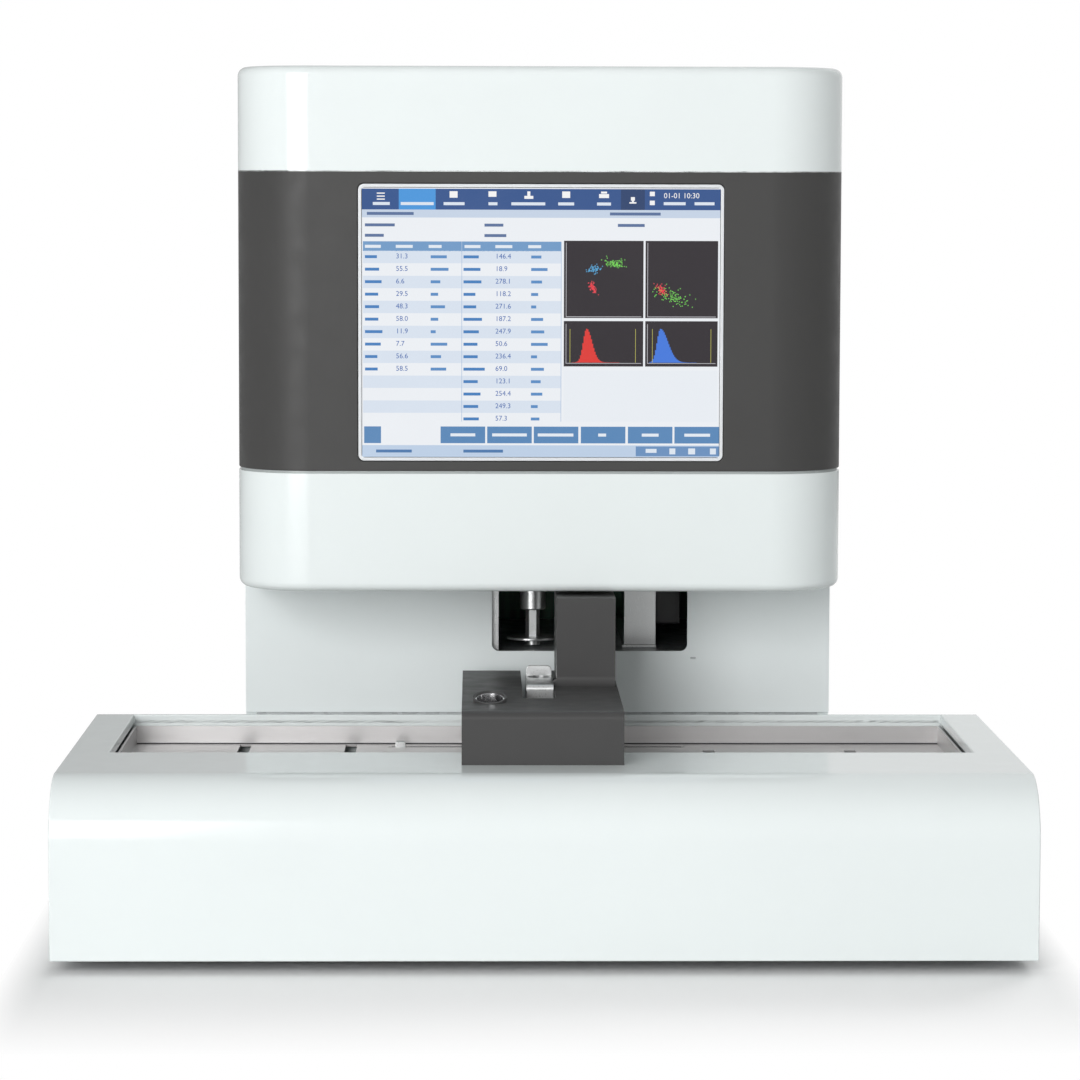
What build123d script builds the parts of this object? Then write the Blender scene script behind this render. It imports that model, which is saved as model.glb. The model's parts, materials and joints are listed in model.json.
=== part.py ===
"""Bench-top blood cell analyser with an automatic sample rack loader.

X runs to the right, Y to the back and Z up. The origin is on the bench, in the middle of the
machine's plan. Every length is in millimetres.
"""
from build123d import *
from math import cos, radians, sin, tan
import os

os.makedirs("parts", exist_ok=True)

# Overall layout
overall_depth = 640.0
foot_height = 8.0
loader_width = 612.0
loader_depth = 314.0
loader_top_z = 120.3
body_width = 405.0
head_width = 407.0
head_overhang = 97.3
head_bottom_z = 215.5
chin_height = 79.1
band_height = 200.2
cap_height = 66.4
seam_gap = 1.8
port_reach = 20.0

# Walls and clearances
moulded_wall = 3.0
sheet = 2.0
skin = 1.5
seat_gap = 0.3
slide_gap = 0.4
pin_clearance = 0.05
fit_clearance = 0.02
edge_softening = 1.2

# Loader housing and tray
loader_front_radius = 38.0
recess_front_margin = 127.0
recess_side_margin = 26.0
lip_height = 6.8
tray_wall_height = 12.4
tray_sheet = 1.5
tray_depth = 20.1
tray_play = 0.7
pusher_slot_width = 8.0
left_slot_x = (-202.0, -129.0)
right_slot_x = (116.6, 213.6)
left_slot_end = -15.0
right_slot_end = -42.0
lane_slot_x = (-103.5, 101.5)
lane_slot_y = -25.5
lane_slot_width = 4.0
coupling_bar_x = 60.0
coupling_bar_width = 40.0
coupling_bar_length = 80.0
tray_support_x = 240.0

# Sampling cover, its hood and the tubes' seats
cover_left_x = -52.0
cover_right_x = 51.0
cover_front_y = -251.0
cover_back_y = -34.0
cover_top_z = 154.3
cover_wall = 2.5
cover_corner_radius = 3.0
cover_edge_radius = 6.0
notch_left_x = -12.4
notch_right_x = 9.0
notch_front_y = -183.2
hood_left_x = 10.9
hood_right_x = 49.8
hood_front_y = -119.0
hood_top_z = 213.0
hood_base_radius = 6.5
well_x = -34.0
well_y = -202.0
well_bore = 8.6
well_wall = 1.0
collar_wall = 1.2
collar_slope = 15.0
holder_width = 18.0
holder_front_y = -137.0
holder_length = 53.0
holder_top_z = 157.5
holder_bore = 7.6
holder_bore_depth = 40.0
holder_bore_from_back = 11.0
holder_tab_height = 6.5
holder_tab_thickness = 2.5

# Lower front panel and the window in it
window_left_x = -31.8
window_right_x = 103.7
window_bottom_z = 164.5
window_corner_radius = 5.0
mechanism_opening_top_z = 332.0
panel_mark_x = 107.9
panel_mark_z = 159.7

# Head
head_corner_radius = 50.0
head_back_radius = 20.0
head_edge_radius = 6.0
trim_recess = 1.5
trim_width = 7.0

# Screen
screen_width = 242.6
screen_height = 183.6
screen_centre_z = 395.2
screen_corner_radius = 4.0
rim_width = 2.2
rim_proud = 0.8
glass_thickness = 3.0

# Frame of the body
frame_face_x = 194.5
frame_back_y = 284.0
frame_top_z = 494.0
frame_border = 22.0
shelf_z = 162.0
flange_height = 14.0

# Service door on the right side
door_axis_x = 197.0
door_axis_y = 290.5
door_edge_beyond_axis = 4.5
door_pin_radius = 1.6
hinge_lug_radius = 3.6
latch_y = 35.0
latch_z = 250.0
latch_shaft_radius = 4.0
latch_cam_length = 20.0
hinge_sweep = 8.5

# Places derived from the sizes above
front_y = -overall_depth / 2
panel_face_y = front_y + loader_depth
body_back_y = overall_depth / 2 - port_reach
panel_back_y = panel_face_y + sheet
bulkhead_back_y = panel_back_y + sheet
head_front_y = panel_face_y - head_overhang
head_skin_back_y = panel_back_y - seat_gap
band_bottom_z = head_bottom_z + chin_height + seam_gap
band_top_z = band_bottom_z + band_height
cap_bottom_z = band_top_z + seam_gap
cap_top_z = cap_bottom_z + cap_height
side_bottom_z = foot_height + sheet
side_top_z = band_top_z - seat_gap
rear_skin_y = body_back_y - skin
recess_front_y = front_y + recess_front_margin
recess_back_y = panel_face_y - moulded_wall
recess_half = loader_width / 2 - recess_side_margin
tray_floor_z = loader_top_z - tray_depth
pan_top_z = foot_height + sheet


def facing_front(y):
    """Plane across the machine at depth y: local axes point right and up, extruding goes forwards."""
    return Plane.XZ.offset(-y)


def facing_right(x):
    """Plane along the machine at x: local axes point to the back and up, extruding goes right."""
    return Plane.YZ.offset(x)


def level(z):
    """Horizontal plane at height z, extruding goes up."""
    return Plane.XY.offset(z)


def rectangle_between(low_a, high_a, low_b, high_b, mode=Mode.ADD):
    """Rectangle between two corners of the sketch in hand."""
    with Locations(((low_a + high_a) / 2, (low_b + high_b) / 2)):
        Rectangle(high_a - low_a, high_b - low_b, mode=mode)


def rounded_between(low_a, high_a, low_b, high_b, radius, mode=Mode.ADD):
    """Rectangle with round corners between two corners of the sketch in hand."""
    with Locations(((low_a + high_a) / 2, (low_b + high_b) / 2)):
        RectangleRounded(high_a - low_a, high_b - low_b, radius, mode=mode)


def head_plan(inset, back_y, back_radius=0.0):
    """Plan of the head's skin, pulled in all round by inset, with its large front corners."""
    half = head_width / 2 - inset
    rectangle_between(-half, half, head_front_y + inset, back_y)
    front_corners = vertices().group_by(Axis.Y)[0]
    fillet(front_corners, head_corner_radius - inset)
    if back_radius > 0:
        back_corners = vertices().group_by(Axis.Y)[-1]
        fillet(back_corners, back_radius - inset)


# Body: pan, frame and panels
frame_inner_x = frame_face_x - sheet
pan_half = frame_inner_x - seat_gap
pan_back_y = rear_skin_y - seat_gap

with BuildPart() as base_pan:
    with BuildSketch(level(foot_height)):
        rectangle_between(-pan_half, pan_half, bulkhead_back_y, pan_back_y)
    extrude(amount=flange_height)
    with BuildSketch(level(pan_top_z)):
        rectangle_between(-pan_half + sheet, pan_half - sheet, bulkhead_back_y + sheet, pan_back_y - sheet)
    extrude(amount=flange_height, mode=Mode.SUBTRACT)
    with BuildSketch(facing_front(bulkhead_back_y + sheet)):
        for bar_x in (-coupling_bar_x, coupling_bar_x):
            with Locations((bar_x, pan_top_z + flange_height / 2)):
                Rectangle(coupling_bar_width + 2 * seat_gap, flange_height)
    extrude(amount=sheet, mode=Mode.SUBTRACT)
    with BuildSketch(level(foot_height)):
        rectangle_between(door_axis_x - hinge_sweep, door_axis_x, door_axis_y - hinge_sweep, body_back_y)
    extrude(amount=flange_height, mode=Mode.SUBTRACT)
base_pan.part.label = "base_pan"
export_step(base_pan.part, "parts/base_pan.step")

foot_radius = 14.0
body_foot_x = 165.0
body_foot_y = (40.0, 262.0)
loader_foot_x = 262.0
loader_foot_y = (-260.0, -50.0)


foot_spots = [(x, y) for x in (-body_foot_x, body_foot_x) for y in body_foot_y]
foot_spots += [(x, y) for x in (-loader_foot_x, loader_foot_x) for y in loader_foot_y]

with BuildPart() as rubber_feet:
    with BuildSketch(level(0)):
        with Locations(*foot_spots):
            Circle(foot_radius)
    extrude(amount=foot_height)
    fillet(rubber_feet.edges().group_by(Axis.Z)[0], edge_softening)
rubber_feet.part.label = "rubber_feet"
export_step(rubber_feet.part, "parts/rubber_feet.step")

frame_bottom_z = foot_height + seat_gap
frame_upper_edge_z = frame_top_z - sheet
door_bottom_z = side_bottom_z
door_top_z = side_top_z
lower_lug_z = door_bottom_z + 2 * sheet
upper_lug_z = frame_upper_edge_z - 1 - sheet
opening_front_y = bulkhead_back_y + frame_border
opening_back_y = frame_back_y - frame_border
opening_bottom_z = frame_bottom_z + 2 * frame_border
opening_top_z = frame_upper_edge_z - frame_border


def frame_side(side):
    """Sheet side of the frame: a border round one large opening, with its back edge folded in."""
    inner_x = side * frame_inner_x
    fold_x = side * (frame_inner_x - flange_height)
    with BuildPart() as frame:
        with BuildSketch(facing_right(inner_x)):
            rectangle_between(bulkhead_back_y, frame_back_y, frame_bottom_z, frame_upper_edge_z)
            rounded_between(
                opening_front_y,
                opening_back_y,
                opening_bottom_z,
                opening_top_z,
                frame_border / 2,
                mode=Mode.SUBTRACT,
            )
        extrude(amount=side * sheet)
        with BuildSketch(level(shelf_z + flange_height)):
            rectangle_between(
                min(inner_x, fold_x), max(inner_x, fold_x), frame_back_y - sheet, frame_back_y
            )
        extrude(amount=frame_upper_edge_z - shelf_z - flange_height)
        if side > 0:
            lug_low_x = door_axis_x - hinge_lug_radius
            lug_high_x = door_axis_x + hinge_lug_radius
            for lug_z in (lower_lug_z, upper_lug_z):
                with BuildSketch(level(lug_z)):
                    rectangle_between(frame_inner_x, lug_high_x, frame_back_y - flange_height, frame_back_y)
                    rectangle_between(lug_low_x, lug_high_x, frame_back_y, door_axis_y)
                    with Locations((door_axis_x, door_axis_y)):
                        Circle(hinge_lug_radius)
                        Circle(door_pin_radius + fit_clearance, mode=Mode.SUBTRACT)
                extrude(amount=sheet)
    return frame


left_frame_side = frame_side(-1)
left_frame_side.part.label = "left_frame_side"
export_step(left_frame_side.part, "parts/left_frame_side.step")

right_frame_side = frame_side(1)
right_frame_side.part.label = "right_frame_side"
export_step(right_frame_side.part, "parts/right_frame_side.step")

bulkhead_half = frame_face_x
bulkhead_bottom_z = pan_top_z + flange_height + sheet
bulkhead_margin = 1.5

with BuildPart() as front_bulkhead:
    with BuildSketch(facing_front(bulkhead_back_y)):
        rectangle_between(-bulkhead_half, bulkhead_half, bulkhead_bottom_z, frame_upper_edge_z)
        rounded_between(
            window_left_x - bulkhead_margin,
            window_right_x + bulkhead_margin,
            window_bottom_z - bulkhead_margin,
            mechanism_opening_top_z,
            window_corner_radius,
            mode=Mode.SUBTRACT,
        )
    extrude(amount=sheet)
front_bulkhead.part.label = "front_bulkhead"
export_step(front_bulkhead.part, "parts/front_bulkhead.step")

with BuildPart() as mid_shelf:
    with BuildSketch(level(shelf_z - sheet)):
        rectangle_between(-pan_half, pan_half, bulkhead_back_y, frame_back_y - sheet - seat_gap)
        with Locations((120.0, 235.0), (-120.0, 235.0)):
            SlotOverall(60, 22, mode=Mode.SUBTRACT)
    extrude(amount=sheet)
    for side in (-1, 1):
        with BuildSketch(level(shelf_z - flange_height)):
            with Locations((side * (pan_half - sheet / 2), (bulkhead_back_y + frame_back_y) / 2)):
                Rectangle(sheet, frame_back_y - bulkhead_back_y - 4 * flange_height)
        extrude(amount=flange_height - sheet)
mid_shelf.part.label = "mid_shelf"
export_step(mid_shelf.part, "parts/mid_shelf.step")

cap_boss_radius = 6.0
cap_boss_x = 160.0
cap_boss_y = (20.0, 265.0)
cap_screw_hole_radius = 2.1
cap_screw_bore_radius = 1.6

with BuildPart() as frame_top:
    with BuildSketch(level(frame_upper_edge_z)):
        rectangle_between(-bulkhead_half, bulkhead_half, panel_back_y, pan_back_y)
        rectangle_between(
            door_axis_x - hinge_sweep,
            door_axis_x,
            door_axis_y - hinge_sweep,
            body_back_y,
            mode=Mode.SUBTRACT,
        )
        with Locations(*[(x, y) for x in (-cap_boss_x, cap_boss_x) for y in cap_boss_y]):
            Circle(cap_screw_hole_radius, mode=Mode.SUBTRACT)
    extrude(amount=sheet)
frame_top.part.label = "frame_top"
export_step(frame_top.part, "parts/frame_top.step")

# White lower front panel, with the window left open up behind the chin
panel_shoulder_z = head_bottom_z - seat_gap
panel_top_z = band_bottom_z - 2 * seam_gap
panel_upper_half = head_width / 2 - moulded_wall - seat_gap
panel_bottom_z = loader_top_z + skin

with BuildPart() as front_panel:
    with BuildSketch(facing_front(panel_back_y)):
        rectangle_between(-body_width / 2, body_width / 2, panel_bottom_z, panel_shoulder_z)
        rectangle_between(-panel_upper_half, panel_upper_half, panel_shoulder_z, panel_top_z)
        rectangle_between(window_left_x, window_right_x, window_bottom_z, panel_top_z, mode=Mode.SUBTRACT)
        window_corners = vertices().filter_by_position(
            Axis.X, window_left_x - 1, window_right_x + 1
        ).filter_by_position(Axis.Y, window_bottom_z - 1, window_bottom_z + 1)
        fillet(window_corners, window_corner_radius)
        with Locations((panel_mark_x, panel_mark_z)):
            SlotOverall(4.0, 1.4, mode=Mode.SUBTRACT)
    extrude(amount=sheet)
front_panel.part.label = "front_panel"
export_step(front_panel.part, "parts/front_panel.step")

# Side skins: the left one is fixed, the right one is the service door
skin_face_x = body_width / 2
skin_inner_x = skin_face_x - skin
fold_reach_x = frame_face_x + seat_gap
vent_count = 9
vent_pitch = 9.0
vent_length = 60.0
vent_width = 3.2
vent_rows_y = (190.0, 262.0)
vent_bottom_z = 50.0

with BuildPart() as left_side_panel:
    with BuildSketch(facing_right(-skin_face_x)):
        rectangle_between(panel_back_y, rear_skin_y - seat_gap, side_bottom_z, side_top_z)
    extrude(amount=skin_face_x - fold_reach_x)
    fillet(left_side_panel.faces().sort_by(Axis.X)[0].edges(), edge_softening)
    with BuildSketch(facing_right(-skin_inner_x)):
        rectangle_between(
            panel_back_y + skin, rear_skin_y - seat_gap - skin, side_bottom_z + skin, side_top_z - skin
        )
    extrude(amount=skin_inner_x, mode=Mode.SUBTRACT)
    vent_middle_z = vent_bottom_z + vent_pitch * (vent_count - 1) / 2
    with BuildSketch(facing_right(-skin_face_x)):
        for row_y in vent_rows_y:
            with Locations((row_y - vent_length / 2, vent_middle_z)):
                with GridLocations(0, vent_pitch, 1, vent_count):
                    SlotOverall(vent_length, vent_width)
    extrude(amount=skin, mode=Mode.SUBTRACT)
left_side_panel.part.label = "left_side_panel"
export_step(left_side_panel.part, "parts/left_side_panel.step")

door_front_y = panel_back_y + seat_gap
door_back_y = door_axis_y + door_edge_beyond_axis

with BuildPart() as right_door:
    with BuildSketch(facing_right(fold_reach_x)):
        rectangle_between(door_front_y, door_back_y, door_bottom_z, door_top_z)
    extrude(amount=skin_face_x - fold_reach_x)
    fillet(right_door.faces().sort_by(Axis.X)[-1].edges(), edge_softening)
    with BuildSketch(facing_right(fold_reach_x)):
        rectangle_between(door_front_y + skin, door_back_y, door_bottom_z + sheet, door_top_z - sheet)
    extrude(amount=skin_inner_x - fold_reach_x, mode=Mode.SUBTRACT)
    with BuildSketch(level(door_bottom_z)):
        with Locations((door_axis_x, door_axis_y)):
            Circle(door_pin_radius + pin_clearance)
    extrude(amount=door_top_z - door_bottom_z, mode=Mode.SUBTRACT)
    with BuildSketch(facing_right(skin_inner_x)):
        with Locations((latch_y, latch_z)):
            Circle(latch_shaft_radius + pin_clearance)
    extrude(amount=skin, mode=Mode.SUBTRACT)
right_door.part.label = "right_door"
export_step(right_door.part, "parts/right_door.step")

with BuildPart() as door_hinge_pins:
    with BuildSketch(level(door_bottom_z)):
        with Locations((door_axis_x, door_axis_y)):
            Circle(door_pin_radius)
    extrude(amount=lower_lug_z + sheet - door_bottom_z)
    with BuildSketch(level(upper_lug_z)):
        with Locations((door_axis_x, door_axis_y)):
            Circle(door_pin_radius)
    extrude(amount=door_top_z - upper_lug_z)
door_hinge_pins.part.label = "door_hinge_pins"
export_step(door_hinge_pins.part, "parts/door_hinge_pins.step")

latch_knob_radius = 10.0
latch_knob_height = 3.0
latch_cam_width = 12.0
latch_cam_x = frame_inner_x - seat_gap - sheet

with BuildPart() as door_latch:
    with BuildSketch(facing_right(latch_cam_x)):
        with Locations((latch_y, latch_z)):
            Circle(latch_shaft_radius)
    extrude(amount=skin_face_x + slide_gap - latch_cam_x)
    with BuildSketch(facing_right(skin_face_x + slide_gap)):
        with Locations((latch_y, latch_z)):
            Circle(latch_knob_radius)
    extrude(amount=latch_knob_height)
    fillet(door_latch.faces().sort_by(Axis.X)[-1].edges(), 1.0)
    with BuildSketch(facing_right(skin_face_x + slide_gap + latch_knob_height / 2)):
        with Locations((latch_y, latch_z)):
            Rectangle(2.0, 1.5 * latch_knob_radius)
    extrude(amount=latch_knob_height, mode=Mode.SUBTRACT)
    with BuildSketch(facing_right(latch_cam_x)):
        with Locations((latch_y, latch_z)):
            Circle(latch_cam_width / 2)
        with Locations((latch_y, latch_z - latch_cam_length / 2)):
            Rectangle(latch_cam_width, latch_cam_length)
    extrude(amount=sheet)
door_latch.part.label = "door_latch"
export_step(door_latch.part, "parts/door_latch.step")

# Rear panel and what is fixed in it
fan_x = 100.0
fan_z = 380.0
fan_bore = 38.0
fan_size = 80.0
fan_depth = 25.0
fan_hole_spacing = 71.5
inlet_x = -150.0
inlet_z = 60.0
inlet_width = 27.5
inlet_height = 20.0
inlet_flange_width = 50.0
inlet_flange_height = 28.0
switch_x = -150.0
switch_z = 100.0
switch_width = 20.0
switch_height = 27.0
port_spacing = 26.0
port_first_x = 60.0
port_count = 4
port_z = 90.0
port_body_radius = 6.0
data_x = -120.0
data_z = 400.0
data_width = 90.0
data_height = 18.0
rear_screw_radius = 1.8
rear_screw_x = 180.0
rear_screw_z = (30.0, 170.0, 310.0, 450.0)
rear_fold_x = 188.0
fold_depth = rear_skin_y - frame_back_y
rear_screw_spots = [(x, z) for x in (-rear_screw_x, rear_screw_x) for z in rear_screw_z]
port_spots = [(port_first_x + port_spacing * i, port_z) for i in range(port_count)]
fan_screw_spots = [
    (fan_x + side * fan_hole_spacing / 2, fan_z + up * fan_hole_spacing / 2)
    for side in (-1, 1)
    for up in (-1, 1)
]

with BuildPart() as rear_panel:
    with BuildSketch(facing_front(body_back_y)):
        rounded_between(-skin_face_x, skin_face_x, side_bottom_z, side_top_z, edge_softening)
        with Locations((fan_x, fan_z)):
            Circle(fan_bore, mode=Mode.SUBTRACT)
        with Locations((inlet_x, inlet_z)):
            Rectangle(inlet_width + 2 * seat_gap, inlet_height + 2 * seat_gap, mode=Mode.SUBTRACT)
        with Locations((switch_x, switch_z)):
            Rectangle(switch_width + 2 * seat_gap, switch_height + 2 * seat_gap, mode=Mode.SUBTRACT)
        with Locations((data_x, data_z)):
            Rectangle(data_width, data_height, mode=Mode.SUBTRACT)
        with Locations(*port_spots):
            Circle(port_body_radius + seat_gap, mode=Mode.SUBTRACT)
        with Locations(*rear_screw_spots, *fan_screw_spots):
            Circle(rear_screw_radius + fit_clearance, mode=Mode.SUBTRACT)
    extrude(amount=skin)
    for side in (-1, 1):
        fold_low = min(side * rear_fold_x, side * (rear_fold_x + sheet))
        with BuildSketch(facing_front(rear_skin_y)):
            rectangle_between(fold_low, fold_low + sheet, shelf_z + flange_height, frame_upper_edge_z)
        extrude(amount=fold_depth)
rear_panel.part.label = "rear_panel"
export_step(rear_panel.part, "parts/rear_panel.step")

rear_screw_head_radius = 3.5
rear_screw_head_height = 1.8

with BuildPart() as rear_screws:
    with BuildSketch(facing_front(body_back_y)):
        with Locations(*rear_screw_spots, *fan_screw_spots):
            Circle(rear_screw_radius)
    extrude(amount=skin)
    with BuildSketch(facing_front(body_back_y)):
        with Locations(*rear_screw_spots, *fan_screw_spots):
            Circle(rear_screw_head_radius)
    extrude(amount=-rear_screw_head_height)
rear_screws.part.label = "rear_screws"
export_step(rear_screws.part, "parts/rear_screws.step")

# Cooling fan behind the rear panel: housing, rotor and wire guard
fan_hub_radius = 17.0
fan_blade_tip = 36.5
fan_blade_count = 7
fan_blade_angle = 32.0
fan_shaft_radius = 2.0
fan_motor_depth = 8.0
fan_back_y = rear_skin_y
fan_front_y = fan_back_y - fan_depth

with BuildPart() as fan_housing:
    with BuildSketch(facing_front(fan_back_y)):
        with Locations((fan_x, fan_z)):
            RectangleRounded(fan_size, fan_size, 5.0)
            Circle(fan_bore, mode=Mode.SUBTRACT)
        with Locations(*fan_screw_spots):
            Circle(rear_screw_radius + seat_gap, mode=Mode.SUBTRACT)
    extrude(amount=fan_depth)
    with BuildSketch(facing_front(fan_front_y + sheet)):
        with Locations((fan_x, fan_z)):
            Circle(fan_hub_radius)
            with PolarLocations(0, 4, start_angle=45):
                Rectangle(fan_bore * 2 + 1, 4.0)
            Circle(fan_bore + 1, mode=Mode.INTERSECT)
            Circle(fan_shaft_radius + pin_clearance, mode=Mode.SUBTRACT)
    extrude(amount=sheet)
fan_housing.part.label = "fan_housing"
export_step(fan_housing.part, "parts/fan_housing.step")

with BuildPart() as fan_rotor:
    with BuildSketch(facing_front(fan_back_y - sheet)):
        with Locations((fan_x, fan_z)):
            Circle(fan_hub_radius)
    extrude(amount=fan_depth - 2 * sheet - slide_gap)
    fillet(fan_rotor.faces().sort_by(Axis.Y)[-1].edges(), 2.0)
    with BuildSketch(facing_front(fan_front_y + sheet + slide_gap)):
        with Locations((fan_x, fan_z)):
            Circle(fan_shaft_radius)
    extrude(amount=sheet + slide_gap - edge_softening / 2)
    blade_length = fan_blade_tip - fan_hub_radius
    for i in range(fan_blade_count):
        turn = 360.0 * i / fan_blade_count
        hub_centre = Vector(fan_x, fan_back_y - fan_depth / 2, fan_z)
        outward = Vector(cos(radians(turn)), 0, sin(radians(turn)))
        tangent = Vector(-sin(radians(turn)), 0, cos(radians(turn)))
        tilt = radians(fan_blade_angle)
        chord = tangent * cos(tilt) + Vector(0, 1, 0) * sin(tilt)
        blade_root = Plane(hub_centre + outward * (fan_hub_radius - 1.5), x_dir=chord, z_dir=outward)
        with BuildSketch(blade_root):
            SlotOverall(20.0, 1.8)
        extrude(amount=blade_length + 1.0)
fan_rotor.part.label = "fan_rotor"
export_step(fan_rotor.part, "parts/fan_rotor.step")

guard_wire = 1.6
guard_rings = (10.0, 18.0, 26.0, 34.0)
with BuildPart() as fan_guard:
    with BuildSketch(facing_front(body_back_y)):
        with Locations((fan_x, fan_z)):
            for ring_radius in guard_rings:
                Circle(ring_radius + guard_wire / 2)
                Circle(ring_radius - guard_wire / 2, mode=Mode.SUBTRACT)
            with PolarLocations(0, 4, start_angle=45):
                with Locations((fan_bore / 2 + guard_rings[0] / 2, 0)):
                    Rectangle(fan_bore - guard_rings[0] + 2 * guard_wire, guard_wire)
    extrude(amount=-guard_wire)
fan_guard.part.label = "fan_guard"
export_step(fan_guard.part, "parts/fan_guard.step")

# Mains inlet and rocker switch, with no lead in the inlet
inlet_depth = 28.0
inlet_flange = 2.5
inlet_cavity = 18.0
inlet_corner = 4.0
pin_section = (2.0, 4.0)
pin_pitch = 7.0
inlet_pin_spots = [(inlet_x + side * pin_pitch, inlet_z - 1.5) for side in (-1, 1)]
inlet_pin_spots += [(inlet_x, inlet_z + 2.0)]
pin_length = 14.0

with BuildPart() as power_inlet:
    with BuildSketch(facing_front(body_back_y)):
        with Locations((inlet_x, inlet_z)):
            RectangleRounded(inlet_flange_width, inlet_flange_height, inlet_corner)
    extrude(amount=-inlet_flange)
    with BuildSketch(facing_front(body_back_y)):
        with Locations((inlet_x, inlet_z)):
            Rectangle(inlet_width, inlet_height)
    extrude(amount=inlet_depth)
    with BuildSketch(facing_front(body_back_y + inlet_flange)):
        with Locations((inlet_x, inlet_z)):
            Rectangle(inlet_width - inlet_corner, inlet_height - inlet_corner)
            chamfer(vertices().group_by(Axis.Y)[-1], inlet_corner)
    extrude(amount=inlet_cavity, mode=Mode.SUBTRACT)
    with BuildSketch(facing_front(body_back_y + inlet_flange - inlet_cavity)):
        with Locations(*inlet_pin_spots):
            Rectangle(*pin_section)
    extrude(amount=-pin_length)
power_inlet.part.label = "power_inlet"
export_step(power_inlet.part, "parts/power_inlet.step")

switch_flange = 2.0
switch_depth = 18.0
rocker_width = 15.0
rocker_height = 22.0
rocker_throw = 14.0
rocker_root = 3.0
rocker_crest = 0.6
rocker_half = rocker_height / 2 - 1.6
rocker_rise = rocker_half * tan(radians(rocker_throw))
rocker_pivot_y = body_back_y - 6.0
rocker_pin_radius = 1.5

with BuildPart() as switch_frame:
    with BuildSketch(facing_front(body_back_y)):
        with Locations((switch_x, switch_z)):
            RectangleRounded(switch_width + 5, switch_height + 5, 1.5)
    extrude(amount=-switch_flange)
    with BuildSketch(facing_front(body_back_y)):
        with Locations((switch_x, switch_z)):
            Rectangle(switch_width, switch_height)
    extrude(amount=switch_depth)
    with BuildSketch(facing_front(body_back_y + switch_flange)):
        with Locations((switch_x, switch_z)):
            Rectangle(rocker_width + 2 * slide_gap, rocker_height + 2.0)
    extrude(amount=switch_depth, mode=Mode.SUBTRACT)
    with BuildSketch(facing_right(switch_x - switch_width / 2)):
        with Locations((rocker_pivot_y, switch_z)):
            Circle(rocker_pin_radius + pin_clearance)
    extrude(amount=switch_width, mode=Mode.SUBTRACT)
switch_frame.part.label = "switch_frame"
export_step(switch_frame.part, "parts/switch_frame.step")

rocker_face_y = body_back_y + switch_flange
with BuildPart() as power_rocker:
    with BuildSketch(facing_right(switch_x - rocker_width / 2)):
        with BuildLine():
            Polyline(
                (rocker_pivot_y - rocker_root, switch_z - rocker_half / 2),
                (rocker_face_y - 2 * rocker_root / 3, switch_z - rocker_half),
                (rocker_face_y + rocker_crest + rocker_rise, switch_z - rocker_half),
                (rocker_face_y + rocker_crest, switch_z),
                (rocker_face_y + rocker_crest - rocker_rise / 2, switch_z + rocker_half),
                (rocker_face_y - rocker_root, switch_z + rocker_half),
                (rocker_pivot_y - rocker_root, switch_z + rocker_half / 2),
                close=True,
            )
        make_face()
    extrude(amount=rocker_width)
    with BuildSketch(facing_right(switch_x - switch_width / 2)):
        with Locations((rocker_pivot_y, switch_z)):
            Circle(rocker_pin_radius)
    extrude(amount=switch_width)
power_rocker.part.label = "power_rocker"
export_step(power_rocker.part, "parts/power_rocker.step")

# Fluid ports and data sockets
port_nipple_radius = 4.0
port_bore = 2.0
port_nut_across = 16.0
port_nut_height = 5.0
port_inner_length = 12.0
port_tip_y = overall_depth / 2


with BuildPart() as fluid_ports:
    with BuildSketch(facing_front(body_back_y)):
        with Locations(*port_spots):
            RegularPolygon(port_nut_across / 2, 6)
    extrude(amount=-port_nut_height)
    with BuildSketch(facing_front(body_back_y + port_nut_height)):
        with Locations(*port_spots):
            Circle(port_nipple_radius)
    extrude(amount=-(port_tip_y - body_back_y - port_nut_height))
    chamfer(fluid_ports.edges().group_by(Axis.Y)[-1], 1.0)
    with BuildSketch(facing_front(body_back_y)):
        with Locations(*port_spots):
            Circle(port_body_radius)
    extrude(amount=port_inner_length)
    with BuildSketch(facing_front(rear_skin_y)):
        with Locations(*port_spots):
            RegularPolygon(port_nut_across / 2, 6)
    extrude(amount=port_nut_height)
    with BuildSketch(facing_front(port_tip_y)):
        with Locations(*port_spots):
            Circle(port_bore)
    extrude(amount=port_tip_y - body_back_y + port_inner_length, mode=Mode.SUBTRACT)
fluid_ports.part.label = "fluid_ports"
export_step(fluid_ports.part, "parts/fluid_ports.step")

with BuildPart() as data_ports:
    with BuildSketch(facing_front(body_back_y + skin)):
        with Locations((data_x, data_z)):
            RectangleRounded(data_width + 8, data_height + 8, 2.0)
    extrude(amount=skin)
    with BuildSketch(facing_front(body_back_y)):
        with Locations((data_x, data_z)):
            Rectangle(data_width - 2 * seat_gap, data_height - 2 * seat_gap)
    extrude(amount=16.0)
    with BuildSketch(facing_front(body_back_y + skin)):
        with Locations((data_x - 30, data_z)):
            Rectangle(14.0, 12.0)
        with Locations((data_x - 5, data_z), (data_x + 15, data_z), (data_x + 34, data_z)):
            Rectangle(13.2, 6.0)
    extrude(amount=13.0, mode=Mode.SUBTRACT)
data_ports.part.label = "data_ports"
export_step(data_ports.part, "parts/data_ports.step")

# Head: chin, dark band, cap and the recessed trims between them
mount_flange_width = 12.0
chin_top_z = head_bottom_z + chin_height
chin_cutout_depth = 44.0

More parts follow.
